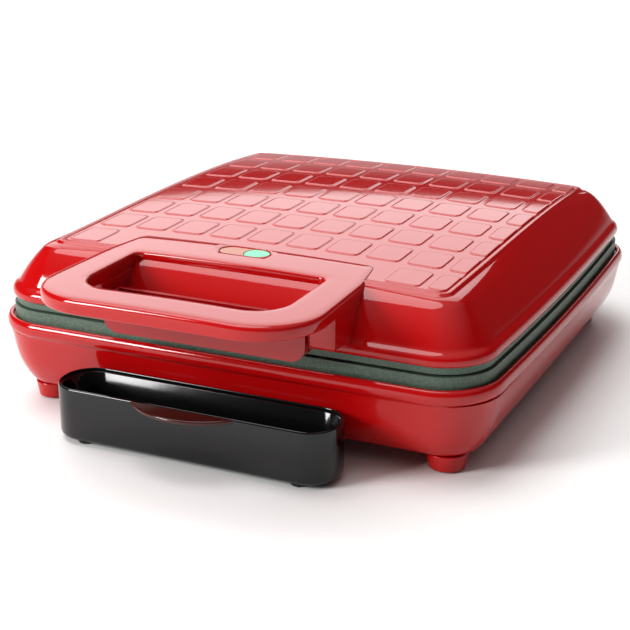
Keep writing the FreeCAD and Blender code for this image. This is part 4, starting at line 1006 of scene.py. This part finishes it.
# ---------------------------------------------------------------- the drip tray
@dataclass
class DripTray:
    """Loose black trough with a rim ledge, an arched pull tab and ball feet."""

    shop: Workshop
    plan: Plan = Plan(half_x=84.5, front=-190.0, back=-154.0, front_corner=17.0, back_corner=17.0,
                      centre_x=-4.0, corner_steps=16, side_steps=20)
    low: float = 2.4
    high: float = 33.0
    tab_half: float = 31.0
    tab_reach: float = 13.0
    tab_thick: float = 2.4
    ball: float = 3.2
    tab_sunk: float = 0.1
    tab_joined: float = 0.6         # how far the tab runs into the trough's wall
    tab_round: float = 1.0
    ball_x: float = 65.0
    ball_in: float = 4.5            # from the trough's front and back

    def build(self) -> None:
        """Makes the trough with its tab and feet."""
        plan = self.plan
        high = self.high
        low = self.low
        profile = ((3.2, low), (1.6, low + 0.35), (0.5, low + 1.3), (0.0, low + 3.0), (0.0, high - 1.0),
                   (0.15, high - 0.45), (0.5, high - 0.1), (0.9, high), (1.15, high - 0.2),
                   (1.25, high - 0.7), (1.3, high - 1.8), (1.9, high - 2.0), (2.2, high - 2.3),
                   (2.4, low + 5.0), (3.2, low + 3.0), (5.0, low + 2.1))
        bm = bmesh.new()
        loft(bm, [Ring(plan.inset(d), z) for d, z in profile], self.shop.origin, closed=False,
             cap_first=True, cap_last=True)
        for x in (plan.centre_x - self.ball_x, plan.centre_x + self.ball_x):
            for y in (plan.front + self.ball_in, plan.back - self.ball_in):
                bmesh.ops.create_uvsphere(bm, u_segments=24, v_segments=14, radius=self.ball * MM,
                                          matrix=Matrix.Translation(self.shop.place(x, y, self.ball)))
        self.shop.finish_piece(bm, "tray_trough", BLACK_POLYPROPYLENE, "tray", ("drip_tray",), crease=50.0)
        self.build_tab()

    def build_tab(self) -> bpy.types.Object:
        """Makes the pull tab: the front slice of a disc, with a rounded rim.

        Returns:
            The object.
        """
        radius = (self.tab_half ** 2 + self.tab_reach ** 2) / (2 * self.tab_reach)
        bm = bmesh.new()
        middle = self.shop.place(self.plan.centre_x, self.plan.front - self.tab_reach + radius,
                                 self.high - self.tab_sunk)
        bmesh.ops.create_circle(bm, cap_ends=True, segments=160, radius=radius * MM,
                                matrix=Matrix.Translation(middle))
        bmesh.ops.bisect_plane(bm, geom=bm.verts[:] + bm.edges[:] + bm.faces[:], dist=1e-7,
                               plane_co=self.shop.place(0, self.plan.front + self.tab_joined, 0),
                               plane_no=Vector((0, 1, 0)), clear_outer=True)
        grown = bmesh.ops.extrude_face_region(bm, geom=bm.faces[:])["geom"]
        bmesh.ops.translate(bm, verts=[g for g in grown if isinstance(g, bmesh.types.BMVert)],
                            vec=Vector((0, 0, -self.tab_thick * MM)))
        bmesh.ops.recalc_face_normals(bm, faces=bm.faces)
        rims = [e for e in bm.edges if e.is_manifold and e.calc_face_angle(0.0) > math.radians(60)]
        bmesh.ops.bevel(bm, geom=rims, offset=self.tab_round * MM, offset_type="OFFSET", segments=5,
                        profile=0.5, affect="EDGES", material=-1)
        # The tab's brown colour is a painted reflection of the red shell on black plastic.
        return self.shop.finish_piece(bm, "tray_tab", TAB_REFLECTION_POLYPROPYLENE, "tray", (), "tray_black")


# ---------------------------------------------------------------- studio
@dataclass(frozen=True)
class Softbox:
    """A rectangular soft light: its middle and aim in metres from the plate's middle, size and power."""

    name: str
    at: tuple[float, float, float]
    aim: tuple[float, float, float]
    size: tuple[float, float]
    watts: float


@dataclass
class Studio:
    """Paper floor, soft lights and the camera."""

    shop: Workshop
    lens: float = 85.71
    sensor: float = 36.0
    camera_at: tuple[float, float, float] = (364.63, -822.69, 342.26)
    camera_aim: tuple[float, float, float] = (-11.0, -4.91, 26.04)
    clip: tuple[float, float] = (0.05, 60.0)
    floor_half: float = 40.0        # metres, wide enough that a low view meets no edge
    sky: tuple[tuple[float, str], ...] = ((0.09, "b8b8b8"), (0.17, "3c3c3c"), (0.55, "2c2c2c"),
                                          (0.95, "c8c8c8"))
    back_box: Softbox = Softbox("back_box", (-0.80, 1.48, 1.30), (0.0, 0.0, 0.1), (2.4, 1.7), 27.0)
    left_fill: Softbox = Softbox("left_fill", (-1.05, -1.34, 0.72), (0.0, 0.0, 0.05), (0.6, 0.6), 30.0)
    bank_strength: float = 1.8
    bank_spread: float = 44.0
    bank_aim: tuple[float, float, float] = (0.30, -0.02, -1.0)

    def build(self) -> None:
        """Makes the whole studio."""
        self.build_floor()
        self.build_sky()
        self.build_lights()
        self.build_camera()

    def build_floor(self) -> None:
        """Lays a wide sheet of white paper."""
        bm = bmesh.new()
        bmesh.ops.create_grid(bm, x_segments=1, y_segments=1, size=self.floor_half)
        mesh = bpy.data.meshes.new("paper_floor")
        bm.to_mesh(mesh)
        bm.free()
        mesh.materials.append(self.shop.material(PAPER))
        floor = bpy.data.objects.new("paper_floor", mesh)
        bpy.context.scene.collection.objects.link(floor)

    def build_sky(self) -> None:
        """Fills the room: a pale wall at the horizon, dark above it and lighter overhead."""
        world = bpy.data.worlds.new("studio_room")
        bpy.context.scene.world = world
        world.use_nodes = True
        tree = world.node_tree
        place = add_node(tree, "ShaderNodeTexCoord")
        split = add_node(tree, "ShaderNodeSeparateXYZ", links={"Vector": place.outputs["Generated"]})
        ramp = add_node(tree, "ShaderNodeValToRGB", links={"Fac": split.outputs["Z"]})
        stops = ramp.color_ramp.elements
        stops[0].position = self.sky[0][0]
        stops[0].color = linear_colour(self.sky[0][1])
        stops[1].position = self.sky[-1][0]
        stops[1].color = linear_colour(self.sky[-1][1])
        for height, shade in self.sky[1:-1]:
            stops.new(height).color = linear_colour(shade)
        background = tree.nodes["Background"]
        tree.links.new(ramp.outputs["Color"], background.inputs["Color"])
        background.inputs["Strength"].default_value = 1.0

    def add_softbox(self, box: Softbox) -> None:
        """Hangs one rectangular soft light.

        Args:
            box: Its place, aim, size and power.
        """
        data = bpy.data.lights.new(box.name, "AREA")
        data.shape = "RECTANGLE"
        data.size, data.size_y = box.size
        data.energy = box.watts
        light = bpy.data.objects.new(box.name, data)
        bpy.context.scene.collection.objects.link(light)
        light.location = self.shop.origin + Vector(box.at)
        light.rotation_mode = "QUATERNION"
        light.rotation_quaternion = (Vector(box.aim) - Vector(box.at)).to_track_quat("-Z", "Y")

    def build_lights(self) -> None:
        """Hangs the box behind, the fill on the left and the ceiling bank."""
        self.add_softbox(self.back_box)
        self.add_softbox(self.left_fill)
        data = bpy.data.lights.new("ceiling_bank", "SUN")
        data.energy = self.bank_strength
        data.angle = math.radians(self.bank_spread)
        bank = bpy.data.objects.new("ceiling_bank", data)
        bpy.context.scene.collection.objects.link(bank)
        bank.rotation_mode = "QUATERNION"
        bank.rotation_quaternion = Vector(self.bank_aim).to_track_quat("-Z", "Y")

    def build_camera(self) -> None:
        """Sets the camera on the front right, a little above."""
        data = bpy.data.cameras.new("camera")
        data.lens = self.lens
        data.sensor_width = self.sensor
        data.clip_start, data.clip_end = self.clip
        camera = bpy.data.objects.new("camera", data)
        bpy.context.scene.collection.objects.link(camera)
        at = self.shop.place(*self.camera_at)
        aim = self.shop.place(*self.camera_aim)
        camera.location = at
        camera.rotation_mode = "QUATERNION"
        camera.rotation_quaternion = (aim - at).to_track_quat("-Z", "Y")
        bpy.context.scene.camera = camera
        bpy.context.scene.view_settings.view_transform = "Standard"


def main() -> None:
    """Builds every sub-assembly and the studio."""
    logging.basicConfig(level=logging.INFO)
    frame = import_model()
    shop = Workshop(frame)
    handle = Handle(shop)
    lid = Lid(shop)
    lid.build_shell()
    lid.build_field(handle.hidden())
    handle.build_loop()
    handle.build_necks()
    LidPieces(shop).build()
    base = Base(shop)
    base.build_shell()
    base.build_small_pieces()
    Hinge(shop).build()
    DripTray(shop).build()
    Studio(shop).build()


if __name__ == "__main__":
    main()
